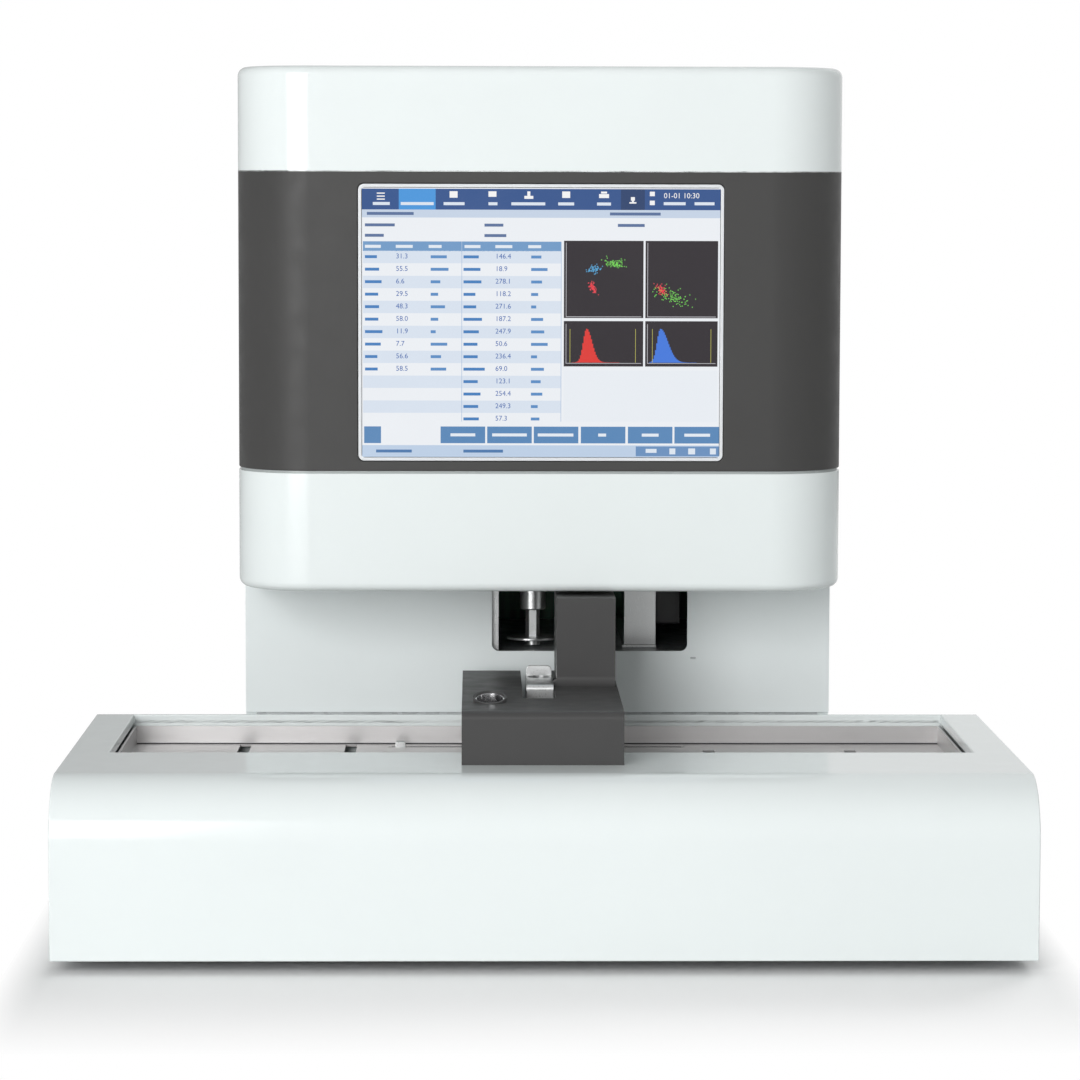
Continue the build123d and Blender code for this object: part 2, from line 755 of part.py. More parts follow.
with BuildPart() as chin_cover:
    with BuildSketch(level(head_bottom_z)):
        head_plan(0, head_skin_back_y)
    extrude(amount=chin_height)
    fillet(chin_cover.edges().group_by(Axis.Z)[0].sort_by(Axis.Y)[:-1], head_edge_radius)
    with BuildSketch(level(head_bottom_z + moulded_wall)):
        head_plan(moulded_wall, head_skin_back_y)
    extrude(amount=chin_height, mode=Mode.SUBTRACT)
    with BuildSketch(level(head_bottom_z)):
        gap_half = panel_upper_half + seat_gap
        rectangle_between(-gap_half, gap_half, panel_face_y - seat_gap, 0)
        rectangle_between(window_left_x, window_right_x, panel_face_y - chin_cutout_depth, 0)
    extrude(amount=moulded_wall + 1, mode=Mode.SUBTRACT)
    flange_half = head_width / 2 - moulded_wall
    flange_middle_x = flange_half - mount_flange_width / 2
    with BuildSketch(level(head_bottom_z + moulded_wall)):
        with Locations((0, panel_face_y - moulded_wall / 2 - seat_gap)):
            with GridLocations(2 * flange_middle_x, 0, 2, 1):
                Rectangle(mount_flange_width, moulded_wall)
    extrude(amount=chin_height - moulded_wall)
chin_cover.part.label = "chin_cover"
export_step(chin_cover.part, "parts/chin_cover.step")

with BuildPart() as screen_bezel:
    with BuildSketch(level(band_bottom_z)):
        head_plan(0, head_skin_back_y)
    extrude(amount=band_height)
    soft_edges = screen_bezel.edges().group_by(Axis.Z)[0].sort_by(Axis.Y)[:-1]
    soft_edges += screen_bezel.edges().group_by(Axis.Z)[-1].sort_by(Axis.Y)[:-1]
    fillet(soft_edges, edge_softening)
    with BuildSketch(level(band_bottom_z)):
        head_plan(moulded_wall, head_skin_back_y)
    extrude(amount=band_height, mode=Mode.SUBTRACT)
    with BuildSketch(facing_front(head_front_y)):
        with Locations((0, screen_centre_z)):
            RectangleRounded(screen_width + 2 * seat_gap, screen_height + 2 * seat_gap, screen_corner_radius)
    extrude(amount=-moulded_wall, mode=Mode.SUBTRACT)
    with BuildSketch(level(band_bottom_z)):
        with Locations((0, head_skin_back_y - moulded_wall / 2)):
            with GridLocations(2 * flange_middle_x, 0, 2, 1):
                Rectangle(mount_flange_width, moulded_wall)
    extrude(amount=band_height)
screen_bezel.part.label = "screen_bezel"
export_step(screen_bezel.part, "parts/screen_bezel.step")

with BuildPart() as lower_seam_trim:
    with BuildSketch(level(chin_top_z)):
        head_plan(trim_recess, head_skin_back_y)
    extrude(amount=seam_gap)
    with BuildSketch(level(chin_top_z)):
        head_plan(trim_recess + trim_width, head_skin_back_y)
    extrude(amount=seam_gap, mode=Mode.SUBTRACT)
lower_seam_trim.part.label = "lower_seam_trim"
export_step(lower_seam_trim.part, "parts/lower_seam_trim.step")

with BuildPart() as upper_seam_trim:
    with BuildSketch(level(band_top_z)):
        head_plan(trim_recess, body_back_y - trim_recess, head_back_radius)
    extrude(amount=seam_gap)
    with BuildSketch(level(band_top_z)):
        head_plan(trim_recess + trim_width, body_back_y - trim_recess - trim_width, head_back_radius)
    extrude(amount=seam_gap, mode=Mode.SUBTRACT)
upper_seam_trim.part.label = "upper_seam_trim"
export_step(upper_seam_trim.part, "parts/upper_seam_trim.step")

cap_boss_spots = [(x, y) for x in (-cap_boss_x, cap_boss_x) for y in cap_boss_y]
with BuildPart() as top_cap:
    with BuildSketch(level(cap_bottom_z)):
        head_plan(0, body_back_y, head_back_radius)
    extrude(amount=cap_height)
    fillet(top_cap.faces().sort_by(Axis.Z)[-1].edges(), head_edge_radius)
    fillet(top_cap.faces().sort_by(Axis.Z)[0].edges(), edge_softening)
    with BuildSketch(level(cap_bottom_z)):
        head_plan(moulded_wall, body_back_y - moulded_wall, head_back_radius)
    extrude(amount=cap_height - moulded_wall, mode=Mode.SUBTRACT)
    with BuildSketch(level(frame_top_z + seat_gap)):
        with Locations(*cap_boss_spots):
            Circle(cap_boss_radius)
            Circle(cap_screw_bore_radius, mode=Mode.SUBTRACT)
    extrude(amount=cap_top_z - moulded_wall - frame_top_z)
top_cap.part.label = "top_cap"
export_step(top_cap.part, "parts/top_cap.step")

# Touch screen: light rim, glass, display behind it and its bracket
rim_face_y = head_front_y - rim_proud
glass_face_y = head_front_y - rim_proud / 2
display_depth = 12.0
display_margin = 6.0
display_face_y = head_front_y + moulded_wall + seat_gap
bracket_half = screen_width / 2 + 24.0
bracket_y = display_face_y + display_depth + seat_gap

with BuildPart() as screen_rim:
    with BuildSketch(facing_front(rim_face_y + moulded_wall + rim_proud)):
        with Locations((0, screen_centre_z)):
            RectangleRounded(screen_width, screen_height, screen_corner_radius)
            RectangleRounded(
                screen_width - 2 * rim_width,
                screen_height - 2 * rim_width,
                screen_corner_radius / 2,
                mode=Mode.SUBTRACT,
            )
    extrude(amount=moulded_wall + rim_proud)
    fillet(screen_rim.faces().sort_by(Axis.Y)[0].edges(), rim_proud / 2)
screen_rim.part.label = "screen_rim"
export_step(screen_rim.part, "parts/screen_rim.step")

glass_width = screen_width - 2 * rim_width - 2 * seat_gap
glass_height = screen_height - 2 * rim_width - 2 * seat_gap
with BuildPart() as touch_panel:
    with BuildSketch(facing_front(glass_face_y + glass_thickness)):
        with Locations((0, screen_centre_z)):
            RectangleRounded(glass_width, glass_height, screen_corner_radius / 2)
    extrude(amount=glass_thickness)
touch_panel.part.label = "touch_panel"
export_step(touch_panel.part, "parts/touch_panel.step")

with BuildPart() as display_module:
    with BuildSketch(facing_front(display_face_y + display_depth)):
        with Locations((0, screen_centre_z)):
            RectangleRounded(screen_width + 2 * display_margin, screen_height + 2 * display_margin, 3.0)
    extrude(amount=display_depth)
display_module.part.label = "display_module"
export_step(display_module.part, "parts/display_module.step")

bracket_back_y = panel_back_y - seat_gap
with BuildPart() as display_bracket:
    with BuildSketch(level(band_bottom_z + display_margin)):
        rectangle_between(-bracket_half, bracket_half, bracket_y, bracket_back_y)
        rectangle_between(
            -bracket_half + sheet, bracket_half - sheet, bracket_y + sheet, bracket_back_y, mode=Mode.SUBTRACT
        )
        for side in (-1, 1):
            with Locations((side * (bracket_half - flange_height / 2), bracket_back_y - sheet / 2)):
                Rectangle(flange_height, sheet)
    extrude(amount=band_height - 2 * display_margin)
    with BuildSketch(facing_front(bracket_y + sheet)):
        with Locations((0, screen_centre_z)):
            RectangleRounded(screen_width / 2, screen_height / 2, screen_corner_radius)
    extrude(amount=sheet, mode=Mode.SUBTRACT)
display_bracket.part.label = "display_bracket"
export_step(display_bracket.part, "parts/display_bracket.step")

# Loader: housing, floor, coupling bars, tray supports and the stainless tray
housing_half = loader_width / 2
recess_lip_bottom_z = loader_top_z - lip_height
loader_floor_half = housing_half - moulded_wall - seat_gap
loader_floor_front_y = front_y + moulded_wall + seat_gap
loader_floor_back_y = recess_back_y - seat_gap
coupling_bar_height = 3.0

with BuildPart() as loader_housing:
    with BuildSketch(facing_right(-housing_half)):
        rectangle_between(front_y, panel_face_y, foot_height, loader_top_z)
        front_corners = vertices().group_by(Axis.X)[0]
        fillet(front_corners.sort_by(Axis.Y)[-1], loader_front_radius)
    extrude(amount=loader_width)
    end_faces = loader_housing.faces().sort_by(Axis.X)
    end_edges = end_faces[0].edges() + end_faces[-1].edges()
    fillet(end_edges.filter_by_position(Axis.Z, foot_height + 1, loader_top_z + 1), edge_softening)
    with BuildSketch(facing_right(-housing_half + moulded_wall)):
        rectangle_between(
            front_y + moulded_wall, panel_face_y - moulded_wall, foot_height - 1, loader_top_z - moulded_wall
        )
        inner_corners = vertices().group_by(Axis.X)[0]
        fillet(inner_corners.sort_by(Axis.Y)[-1], loader_front_radius - moulded_wall)
    extrude(amount=loader_width - 2 * moulded_wall, mode=Mode.SUBTRACT)
    with BuildSketch(level(recess_lip_bottom_z)):
        rectangle_between(
            -recess_half - moulded_wall,
            recess_half + moulded_wall,
            recess_front_y - moulded_wall,
            panel_face_y - moulded_wall,
        )
    extrude(amount=lip_height - moulded_wall)
    with BuildSketch(level(recess_lip_bottom_z)):
        rectangle_between(-recess_half, recess_half, recess_front_y, recess_back_y)
    extrude(amount=lip_height, mode=Mode.SUBTRACT)
    with BuildSketch(facing_front(panel_face_y)):
        for bar_x in (-coupling_bar_x, coupling_bar_x):
            with Locations((bar_x, foot_height + coupling_bar_height)):
                Rectangle(coupling_bar_width + 2 * seat_gap, 4 * coupling_bar_height)
    extrude(amount=moulded_wall, mode=Mode.SUBTRACT)
loader_housing.part.label = "loader_housing"
export_step(loader_housing.part, "parts/loader_housing.step")

with BuildPart() as loader_floor:
    with BuildSketch(level(foot_height)):
        rectangle_between(-loader_floor_half, loader_floor_half, loader_floor_front_y, loader_floor_back_y)
    extrude(amount=flange_height)
    with BuildSketch(level(pan_top_z)):
        rectangle_between(
            -loader_floor_half + sheet,
            loader_floor_half - sheet,
            loader_floor_front_y + sheet,
            loader_floor_back_y,
        )
    extrude(amount=flange_height, mode=Mode.SUBTRACT)
loader_floor.part.label = "loader_floor"
export_step(loader_floor.part, "parts/loader_floor.step")

with BuildPart() as coupling_bars:
    with BuildSketch(level(pan_top_z)):
        for bar_x in (-coupling_bar_x, coupling_bar_x):
            with Locations((bar_x, panel_face_y)):
                Rectangle(coupling_bar_width, coupling_bar_length)
                with GridLocations(0, coupling_bar_length - 20, 1, 2):
                    Circle(2.6, mode=Mode.SUBTRACT)
    extrude(amount=coupling_bar_height)
coupling_bars.part.label = "coupling_bars"
export_step(coupling_bars.part, "parts/coupling_bars.step")

tray_bottom_z = tray_floor_z - tray_sheet
support_front_y = recess_front_y + 4.0
support_back_y = recess_back_y - 8.0
support_foot = 16.0


with BuildPart() as tray_supports:
    with BuildSketch(facing_front(support_back_y)):
        for side in (-1, 1):
            outer_x = side * tray_support_x
            with BuildLine():
                Polyline(
                    (outer_x - side * support_foot, pan_top_z),
                    (outer_x, pan_top_z),
                    (outer_x, tray_bottom_z),
                    (outer_x - side * support_foot, tray_bottom_z),
                    (outer_x - side * support_foot, tray_bottom_z - sheet),
                    (outer_x - side * sheet, tray_bottom_z - sheet),
                    (outer_x - side * sheet, pan_top_z + sheet),
                    (outer_x - side * support_foot, pan_top_z + sheet),
                    close=True,
                )
            make_face()
    extrude(amount=support_back_y - support_front_y)
tray_supports.part.label = "tray_supports"
export_step(tray_supports.part, "parts/tray_supports.step")

tray_half = recess_half - tray_play
tray_front_y = recess_front_y + tray_play
tray_back_y = recess_back_y - tray_play
tray_rim_z = tray_floor_z + tray_wall_height
slot_start_y = tray_front_y + tray_sheet + 2.0

with BuildPart() as rack_tray:
    with BuildSketch(level(tray_bottom_z)):
        rectangle_between(-tray_half, tray_half, tray_front_y, tray_back_y)
    extrude(amount=tray_rim_z - tray_bottom_z)
    with BuildSketch(level(tray_floor_z)):
        rectangle_between(
            -tray_half + tray_sheet,
            tray_half - tray_sheet,
            tray_front_y + tray_sheet,
            tray_back_y - tray_sheet,
        )
    extrude(amount=tray_wall_height, mode=Mode.SUBTRACT)
    with BuildSketch(level(tray_bottom_z)):
        for slot_xs, slot_end in ((left_slot_x, left_slot_end), (right_slot_x, right_slot_end)):
            for slot_x in slot_xs:
                rectangle_between(
                    slot_x - pusher_slot_width / 2, slot_x + pusher_slot_width / 2, slot_start_y, slot_end
                )
        with Locations(((lane_slot_x[0] + lane_slot_x[1]) / 2, lane_slot_y)):
            SlotOverall(lane_slot_x[1] - lane_slot_x[0], lane_slot_width)
    extrude(amount=tray_sheet, mode=Mode.SUBTRACT)
rack_tray.part.label = "rack_tray"
export_step(rack_tray.part, "parts/rack_tray.step")

# Dark sampling cover: hollow moulding with a notch for the tube holder, a sloped collar round the
# sample well and a hood over the piercing place, open at the back
cover_skirt_z = tray_floor_z + slide_gap
skirt_front_y = tray_front_y + tray_sheet + seat_gap
notch_wall_left_x = notch_left_x - cover_wall
notch_wall_front_y = notch_front_y - cover_wall
well_outer = well_bore + well_wall
collar_outer = well_outer + fit_clearance + collar_wall
collar_front_y = well_y - collar_outer
collar_rise = tan(radians(collar_slope))
collar_top_z = cover_top_z + 2 * collar_outer * collar_rise + 1


collar_margin = 5.0
collar_low_z = cover_top_z + 0.4
collar_profile = (
    (collar_front_y - collar_margin, collar_low_z - collar_margin * collar_rise),
    (well_y + collar_outer + collar_margin, collar_low_z + (2 * collar_outer + collar_margin) * collar_rise),
    (well_y + collar_outer + collar_margin, collar_top_z + 4 * collar_margin),
    (collar_front_y - collar_margin, collar_top_z + 4 * collar_margin),
)

with BuildPart() as sampling_cover:
    with BuildSketch(level(cover_skirt_z)):
        rectangle_between(cover_left_x, cover_right_x, skirt_front_y, cover_back_y)
    extrude(amount=cover_top_z - cover_skirt_z)
    with BuildSketch(level(loader_top_z)):
        rectangle_between(cover_left_x, cover_right_x, cover_front_y, skirt_front_y + 1)
        fillet(vertices().group_by(Axis.Y)[0], cover_corner_radius)
    extrude(amount=cover_top_z - loader_top_z)
    top_edges = sampling_cover.faces().sort_by(Axis.Z)[-1].edges()
    fillet(top_edges.sort_by(Axis.Y)[0], cover_edge_radius)
    with BuildSketch(facing_right(hood_left_x)):
        rectangle_between(hood_front_y, cover_back_y, cover_top_z - cover_wall, hood_top_z)
        rectangle_between(
            hood_front_y - hood_base_radius,
            hood_front_y,
            cover_top_z - cover_wall,
            cover_top_z + hood_base_radius,
        )
        with Locations((hood_front_y - hood_base_radius, cover_top_z + hood_base_radius)):
            Circle(hood_base_radius, mode=Mode.SUBTRACT)
    extrude(amount=hood_right_x - hood_left_x)
    with BuildSketch(level(cover_skirt_z)):
        rectangle_between(
            cover_left_x + cover_wall, notch_wall_left_x, notch_wall_front_y, cover_back_y - cover_wall
        )
        rectangle_between(
            notch_right_x + cover_wall,
            cover_right_x - cover_wall,
            notch_wall_front_y,
            cover_back_y - cover_wall,
        )
        rectangle_between(
            cover_left_x + cover_wall,
            cover_right_x - cover_wall,
            cover_front_y + cover_wall,
            notch_wall_front_y,
        )
    extrude(amount=cover_top_z - cover_skirt_z - cover_wall, mode=Mode.SUBTRACT)
    with BuildSketch(level(cover_skirt_z)):
        rectangle_between(
            hood_left_x + cover_wall, hood_right_x - cover_wall, hood_front_y + cover_wall, cover_back_y + 1
        )
    extrude(amount=hood_top_z - cover_skirt_z - cover_wall, mode=Mode.SUBTRACT)
    with BuildSketch(level(cover_skirt_z)):
        rectangle_between(notch_left_x, notch_right_x, notch_front_y, cover_back_y + 1)
    extrude(amount=cover_top_z - cover_skirt_z + 1, mode=Mode.SUBTRACT)
    with BuildSketch(level(cover_top_z - cover_wall)):
        with Locations((well_x, well_y)):
            Circle(collar_outer)
    extrude(amount=collar_top_z - cover_top_z + cover_wall)
    with BuildSketch(facing_right(well_x - collar_outer - 1)):
        Polygon(*collar_profile, align=None)
    extrude(amount=2 * collar_outer + 2, mode=Mode.SUBTRACT)
    with BuildSketch(level(loader_top_z)):
        with Locations((well_x, well_y)):
            Circle(well_outer + fit_clearance)
    extrude(amount=collar_top_z - loader_top_z, mode=Mode.SUBTRACT)
sampling_cover.part.label = "sampling_cover"
export_step(sampling_cover.part, "parts/sampling_cover.step")

with BuildPart() as well_liner:
    with BuildSketch(level(loader_top_z)):
        with Locations((well_x, well_y)):
            Circle(well_outer)
    extrude(amount=collar_top_z - loader_top_z)
    with BuildSketch(level(loader_top_z + skin)):
        with Locations((well_x, well_y)):
            Circle(well_bore)
    extrude(amount=collar_top_z - loader_top_z, mode=Mode.SUBTRACT)
    with BuildSketch(facing_right(well_x - collar_outer - 1)):
        Polygon(*collar_profile, align=None)
    extrude(amount=2 * collar_outer + 2, mode=Mode.SUBTRACT)
well_liner.part.label = "well_liner"
export_step(well_liner.part, "parts/well_liner.step")

# Single-tube holder that slides along its rail in the notch
holder_x = (notch_left_x + notch_right_x) / 2 + 1.1
holder_back_y = holder_front_y + holder_length
holder_hole_y = holder_back_y - holder_bore_from_back
holder_rail_width = 11.0
holder_rail_height = 6.0
holder_rail_top_z = tray_floor_z + holder_rail_height
holder_bottom_z = tray_floor_z + slide_gap

with BuildPart() as holder_rail:
    with BuildSketch(level(tray_floor_z)):
        rectangle_between(
            holder_x - holder_rail_width / 2,
            holder_x + holder_rail_width / 2,
            notch_front_y + seat_gap,
            cover_back_y - seat_gap,
        )
    extrude(amount=holder_rail_height)
    chamfer(holder_rail.edges().group_by(Axis.Z)[-1], 0.5)
holder_rail.part.label = "holder_rail"
export_step(holder_rail.part, "parts/holder_rail.step")

with BuildPart() as tube_holder:
    with BuildSketch(facing_right(holder_x - holder_width / 2)):
        rectangle_between(holder_front_y, holder_back_y, holder_bottom_z, holder_top_z)
        top_corners = vertices().group_by(Axis.Y)[-1]
        fillet(top_corners.sort_by(Axis.X)[0], 3.5)
    extrude(amount=holder_width)
    with BuildSketch(facing_front(holder_back_y)):
        with Locations((holder_x, holder_top_z)):
            RectangleRounded(holder_width - 1.0, 2 * holder_tab_height, 3.0)
    extrude(amount=holder_tab_thickness)
    with BuildSketch(facing_front(holder_back_y)):
        with Locations((holder_x, holder_bottom_z)):
            Rectangle(holder_rail_width + 2 * slide_gap, 2 * (holder_rail_top_z + seat_gap - holder_bottom_z))
    extrude(amount=holder_length, mode=Mode.SUBTRACT)
    with BuildSketch(level(holder_top_z)):
        with Locations((holder_x, holder_hole_y)):
            Circle(holder_bore)
    extrude(amount=-holder_bore_depth, mode=Mode.SUBTRACT)
tube_holder.part.label = "tube_holder"
export_step(tube_holder.part, "parts/tube_holder.step")

# Rack pushers under the tray, each with two fingers up through their slots
finger_width = pusher_slot_width - 2.0
finger_length = 8.0
finger_top_z = tray_floor_z + 11.0
finger_start_y = slot_start_y + seat_gap + finger_length / 2
crossbar_height = 8.0
crossbar_top_z = tray_bottom_z - 6.0
crossbar_depth = 12.0
guide_width = 12.0
guide_height = 9.0
guide_top_z = crossbar_top_z - crossbar_height - 2.0
guide_bottom_z = guide_top_z - guide_height
carriage_width = 28.0
carriage_length = 24.0
carriage_drop = 7.0
carriage_setback = 6.0
guide_front_y = finger_start_y - carriage_setback - carriage_length / 2 - 6.0
guide_back_y = recess_back_y - seat_gap - sheet
guide_leg = 4.0


pusher_centres = [sum(slot_xs) / 2 for slot_xs in (left_slot_x, right_slot_x)]

with BuildPart() as pusher_guides:
    with BuildSketch(level(guide_bottom_z)):
        for centre_x in pusher_centres:
            rectangle_between(
                centre_x - guide_width / 2, centre_x + guide_width / 2, guide_front_y, guide_back_y
            )
    extrude(amount=guide_height)
    with BuildSketch(level(pan_top_z)):
        for centre_x in pusher_centres:
            for leg_y in (guide_front_y + guide_leg / 2, guide_back_y - guide_leg / 2):
                with Locations((centre_x, leg_y)):
                    Rectangle(guide_width, guide_leg)
    extrude(amount=guide_bottom_z - pan_top_z)
pusher_guides.part.label = "pusher_guides"
export_step(pusher_guides.part, "parts/pusher_guides.step")


def rack_pusher(slot_xs):
    """Carriage that wraps its rail, with a crossbar and a finger at each slot."""
    centre_x = (slot_xs[0] + slot_xs[1]) / 2
    block_y = finger_start_y - carriage_setback
    block_bottom_z = guide_top_z - carriage_drop
    with BuildPart() as pusher:
        with BuildSketch(level(block_bottom_z)):
            with Locations((centre_x, block_y)):
                Rectangle(carriage_width, carriage_length)
        extrude(amount=crossbar_top_z - block_bottom_z)
        with BuildSketch(level(block_bottom_z)):
            with Locations((centre_x, block_y)):
                Rectangle(guide_width + 2 * seat_gap, carriage_length)
        extrude(amount=carriage_drop + seat_gap, mode=Mode.SUBTRACT)
        with BuildSketch(level(crossbar_top_z - crossbar_height)):
            rectangle_between(
                slot_xs[0] - finger_width,
                slot_xs[1] + finger_width,
                finger_start_y - crossbar_depth / 2,
                finger_start_y + crossbar_depth / 2,
            )
        extrude(amount=crossbar_height)
        with BuildSketch(level(crossbar_top_z)):
            for slot_x in slot_xs:
                with Locations((slot_x, finger_start_y)):
                    Rectangle(finger_width, finger_length)
        extrude(amount=finger_top_z - crossbar_top_z)
        fillet(pusher.edges().group_by(Axis.Z)[-1], 1.0)
    return pusher


for pusher_name, slot_xs in (("left_pusher", left_slot_x), ("right_pusher", right_slot_x)):
    pusher_piece = rack_pusher(slot_xs)
    pusher_piece.part.label = pusher_name
    export_step(pusher_piece.part, f"parts/{pusher_name}.step")

# Lane shuttle that draws a rack sideways behind the cover
shuttle_start_x = -95.0
pawl_width = 7.0
pawl_thickness = lane_slot_width - 1.0
pawl_top_z = tray_floor_z + 4.0
lane_guide_half = 118.0
shuttle_block_length = 20.0
lane_guide_width = 10.0
shuttle_width = 22.0

with BuildPart() as lane_guide:
    with BuildSketch(level(guide_bottom_z)):
        with Locations((0, lane_slot_y)):
            Rectangle(2 * lane_guide_half, lane_guide_width)
    extrude(amount=guide_height)
    with BuildSketch(level(pan_top_z)):
        for leg_x in (-lane_guide_half + guide_leg / 2, lane_guide_half - guide_leg / 2):
            with Locations((leg_x, lane_slot_y)):
                Rectangle(guide_leg, lane_guide_width)
    extrude(amount=guide_bottom_z - pan_top_z)
lane_guide.part.label = "lane_guide"
export_step(lane_guide.part, "parts/lane_guide.step")

with BuildPart() as lane_shuttle:
    with BuildSketch(facing_right(shuttle_start_x - shuttle_block_length / 2)):
        rectangle_between(
            lane_slot_y - shuttle_width / 2,
            lane_slot_y + shuttle_width / 2,
            guide_top_z - carriage_drop,
            crossbar_top_z,
        )
        rectangle_between(
            lane_slot_y - lane_guide_width / 2 - seat_gap,
            lane_slot_y + lane_guide_width / 2 + seat_gap,
            guide_top_z - carriage_drop,
            guide_top_z + seat_gap,
            mode=Mode.SUBTRACT,
        )
    extrude(amount=shuttle_block_length)
    with BuildSketch(level(crossbar_top_z)):
        with Locations((shuttle_start_x, lane_slot_y)):
            Rectangle(pawl_width, pawl_thickness)
    extrude(amount=pawl_top_z - crossbar_top_z)
    chamfer(lane_shuttle.edges().group_by(Axis.Z)[-1], 0.8)
lane_shuttle.part.label = "lane_shuttle"
export_step(lane_shuttle.part, "parts/lane_shuttle.step")

# Stepper motors of the three drives, standing on the loader floor
motor_size = 35.0
motor_height = 34.0
motor_corner = 4.0
motor_shaft_radius = 2.5
motor_shaft_length = 12.0


motor_spots = (
    (pusher_centres[0] + carriage_width + motor_size / 2, -150.0),
    (pusher_centres[1] - carriage_width - motor_size / 2, -150.0),
    (0.0, -80.0),
)

with BuildPart() as drive_motors:
    with BuildSketch(level(pan_top_z)):
        with Locations(*motor_spots):
            RectangleRounded(motor_size, motor_size, motor_corner)
    extrude(amount=motor_height)
    with BuildSketch(level(pan_top_z + motor_height)):
        with Locations(*motor_spots):
            Circle(motor_size / 3)
    extrude(amount=sheet)
    with BuildSketch(level(pan_top_z + motor_height)):
        with Locations(*motor_spots):
            Circle(motor_shaft_radius)
    extrude(amount=motor_shaft_length)
drive_motors.part.label = "drive_motors"
export_step(drive_motors.part, "parts/drive_motors.step")

# Sampling mechanism seen through the window: plate, rail, probe carriage, probe and rinse block
sampling_plate_x = 84.0
sampling_flange_left_x = 61.5
sampling_plate_front_y = 40.0
sampling_plate_back_y = 220.0
sampling_plate_top_z = 330.0
sampling_foot_left_x = 60.0
rail_width = 6.0
rail_height = 12.0
rail_z = 283.0
rail_face_x = sampling_plate_x - sheet
carriage_front_y = -16.0
carriage_plate_thickness = 3.0
carriage_plate_left_x = 19.0
carriage_plate_right_x = 49.0
carriage_plate_bottom_z = 196.0
carriage_arm_right_x = 59.0
carriage_arm_left_x = 50.0
carriage_block_y = (50.0, 90.0)
probe_x = (carriage_plate_left_x + carriage_plate_right_x) / 2
probe_y = carriage_front_y - 6.0
probe_radius = 0.9
probe_tip_z = 192.0
probe_block_height = 14.0
probe_block_bottom_z = 262.0

with BuildPart() as sampling_plate:
    with BuildSketch(facing_right(rail_face_x)):
        rectangle_between(sampling_plate_front_y, sampling_plate_back_y, shelf_z, sampling_plate_top_z)
        with Locations((140.0, 215.0)):
            SlotOverall(60.0, 26.0, mode=Mode.SUBTRACT)
    extrude(amount=sheet)
    with BuildSketch(facing_front(sampling_plate_front_y + sheet)):
        rectangle_between(sampling_flange_left_x, sampling_plate_x, shelf_z + sheet, sampling_plate_top_z)
    extrude(amount=sheet)
    with BuildSketch(level(shelf_z)):
        rectangle_between(
            sampling_foot_left_x, sampling_plate_x, sampling_plate_front_y - 6.0, sampling_plate_back_y
        )
    extrude(amount=sheet)
sampling_plate.part.label = "sampling_plate"
export_step(sampling_plate.part, "parts/sampling_plate.step")

with BuildPart() as carriage_rail:
    with BuildSketch(facing_front(sampling_plate_back_y - 4.0)):
        with Locations((rail_face_x - rail_width / 2, rail_z)):
            Rectangle(rail_width, rail_height)
    extrude(amount=sampling_plate_back_y - sampling_plate_front_y - 4.0 - sheet - seat_gap)
    chamfer(carriage_rail.edges().filter_by(Axis.Y).sort_by(Axis.X)[:2], 0.6)
carriage_rail.part.label = "carriage_rail"
export_step(carriage_rail.part, "parts/carriage_rail.step")

with BuildPart() as probe_carriage:
    with BuildSketch(facing_front(carriage_block_y[1])):
        rectangle_between(carriage_arm_right_x, rail_face_x - seat_gap, rail_z - 15.0, rail_z + 15.0)
        rectangle_between(
            rail_face_x - rail_width - seat_gap,
            rail_face_x,
            rail_z - rail_height / 2 - seat_gap,
            rail_z + rail_height / 2 + seat_gap,
            mode=Mode.SUBTRACT,
        )
    extrude(amount=carriage_block_y[1] - carriage_block_y[0])
    with BuildSketch(facing_right(carriage_arm_left_x)):
        with BuildLine():
            Polyline(
                (carriage_front_y, rail_z + 15.0),
                (carriage_block_y[1], rail_z + 15.0),
                (carriage_block_y[1], rail_z - 15.0),
                (carriage_block_y[0], rail_z - 15.0),
                (carriage_front_y + 20.0, rail_z - 9.0),
                (carriage_front_y, rail_z - 9.0),
                close=True,
            )
        make_face()
        with Locations((24.0, rail_z + 2.0)):
            SlotOverall(26.0, 9.0, mode=Mode.SUBTRACT)
    extrude(amount=carriage_arm_right_x - carriage_arm_left_x)
    with BuildSketch(facing_front(carriage_front_y + carriage_plate_thickness)):
        rectangle_between(
            carriage_plate_left_x, carriage_plate_right_x, carriage_plate_bottom_z, rail_z + 15.0
        )
        rectangle_between(carriage_plate_left_x, carriage_arm_right_x, rail_z - 9.0, rail_z + 15.0)
    extrude(amount=carriage_plate_thickness)
    with BuildSketch(level(carriage_plate_bottom_z)):
        rectangle_between(probe_x - 7.0, probe_x + 7.0, probe_y - 6.0, carriage_front_y)
        with Locations((probe_x, probe_y)):
            Circle(probe_radius + 0.3, mode=Mode.SUBTRACT)
    extrude(amount=8.0)
probe_carriage.part.label = "probe_carriage"
export_step(probe_carriage.part, "parts/probe_carriage.step")

with BuildPart() as sample_probe:
    with BuildSketch(level(probe_block_bottom_z)):
        rectangle_between(probe_x - 5.0, probe_x + 5.0, probe_y - 5.0, carriage_front_y - seat_gap)
    extrude(amount=probe_block_height)
    with BuildSketch(level(probe_tip_z)):
        with Locations((probe_x, probe_y)):
            Circle(probe_radius)
    extrude(amount=probe_block_bottom_z + probe_block_height + 10.0 - probe_tip_z)
sample_probe.part.label = "sample_probe"
export_step(sample_probe.part, "parts/sample_probe.step")

# Roller that turns a tube in front of the code reader
spinner_x = -3.0
spinner_y = 40.0
spinner_disc_radius = 18.0
spinner_disc_z = 168.0
spinner_disc_thickness = 2.0
spinner_hub_radius = 5.0
spinner_motor_radius = 9.0
spinner_motor_bottom_z = 189.0
spinner_arm_z = 256.0
spinner_bracket_x = -32.0
spinner_shaft_radius = 2.0

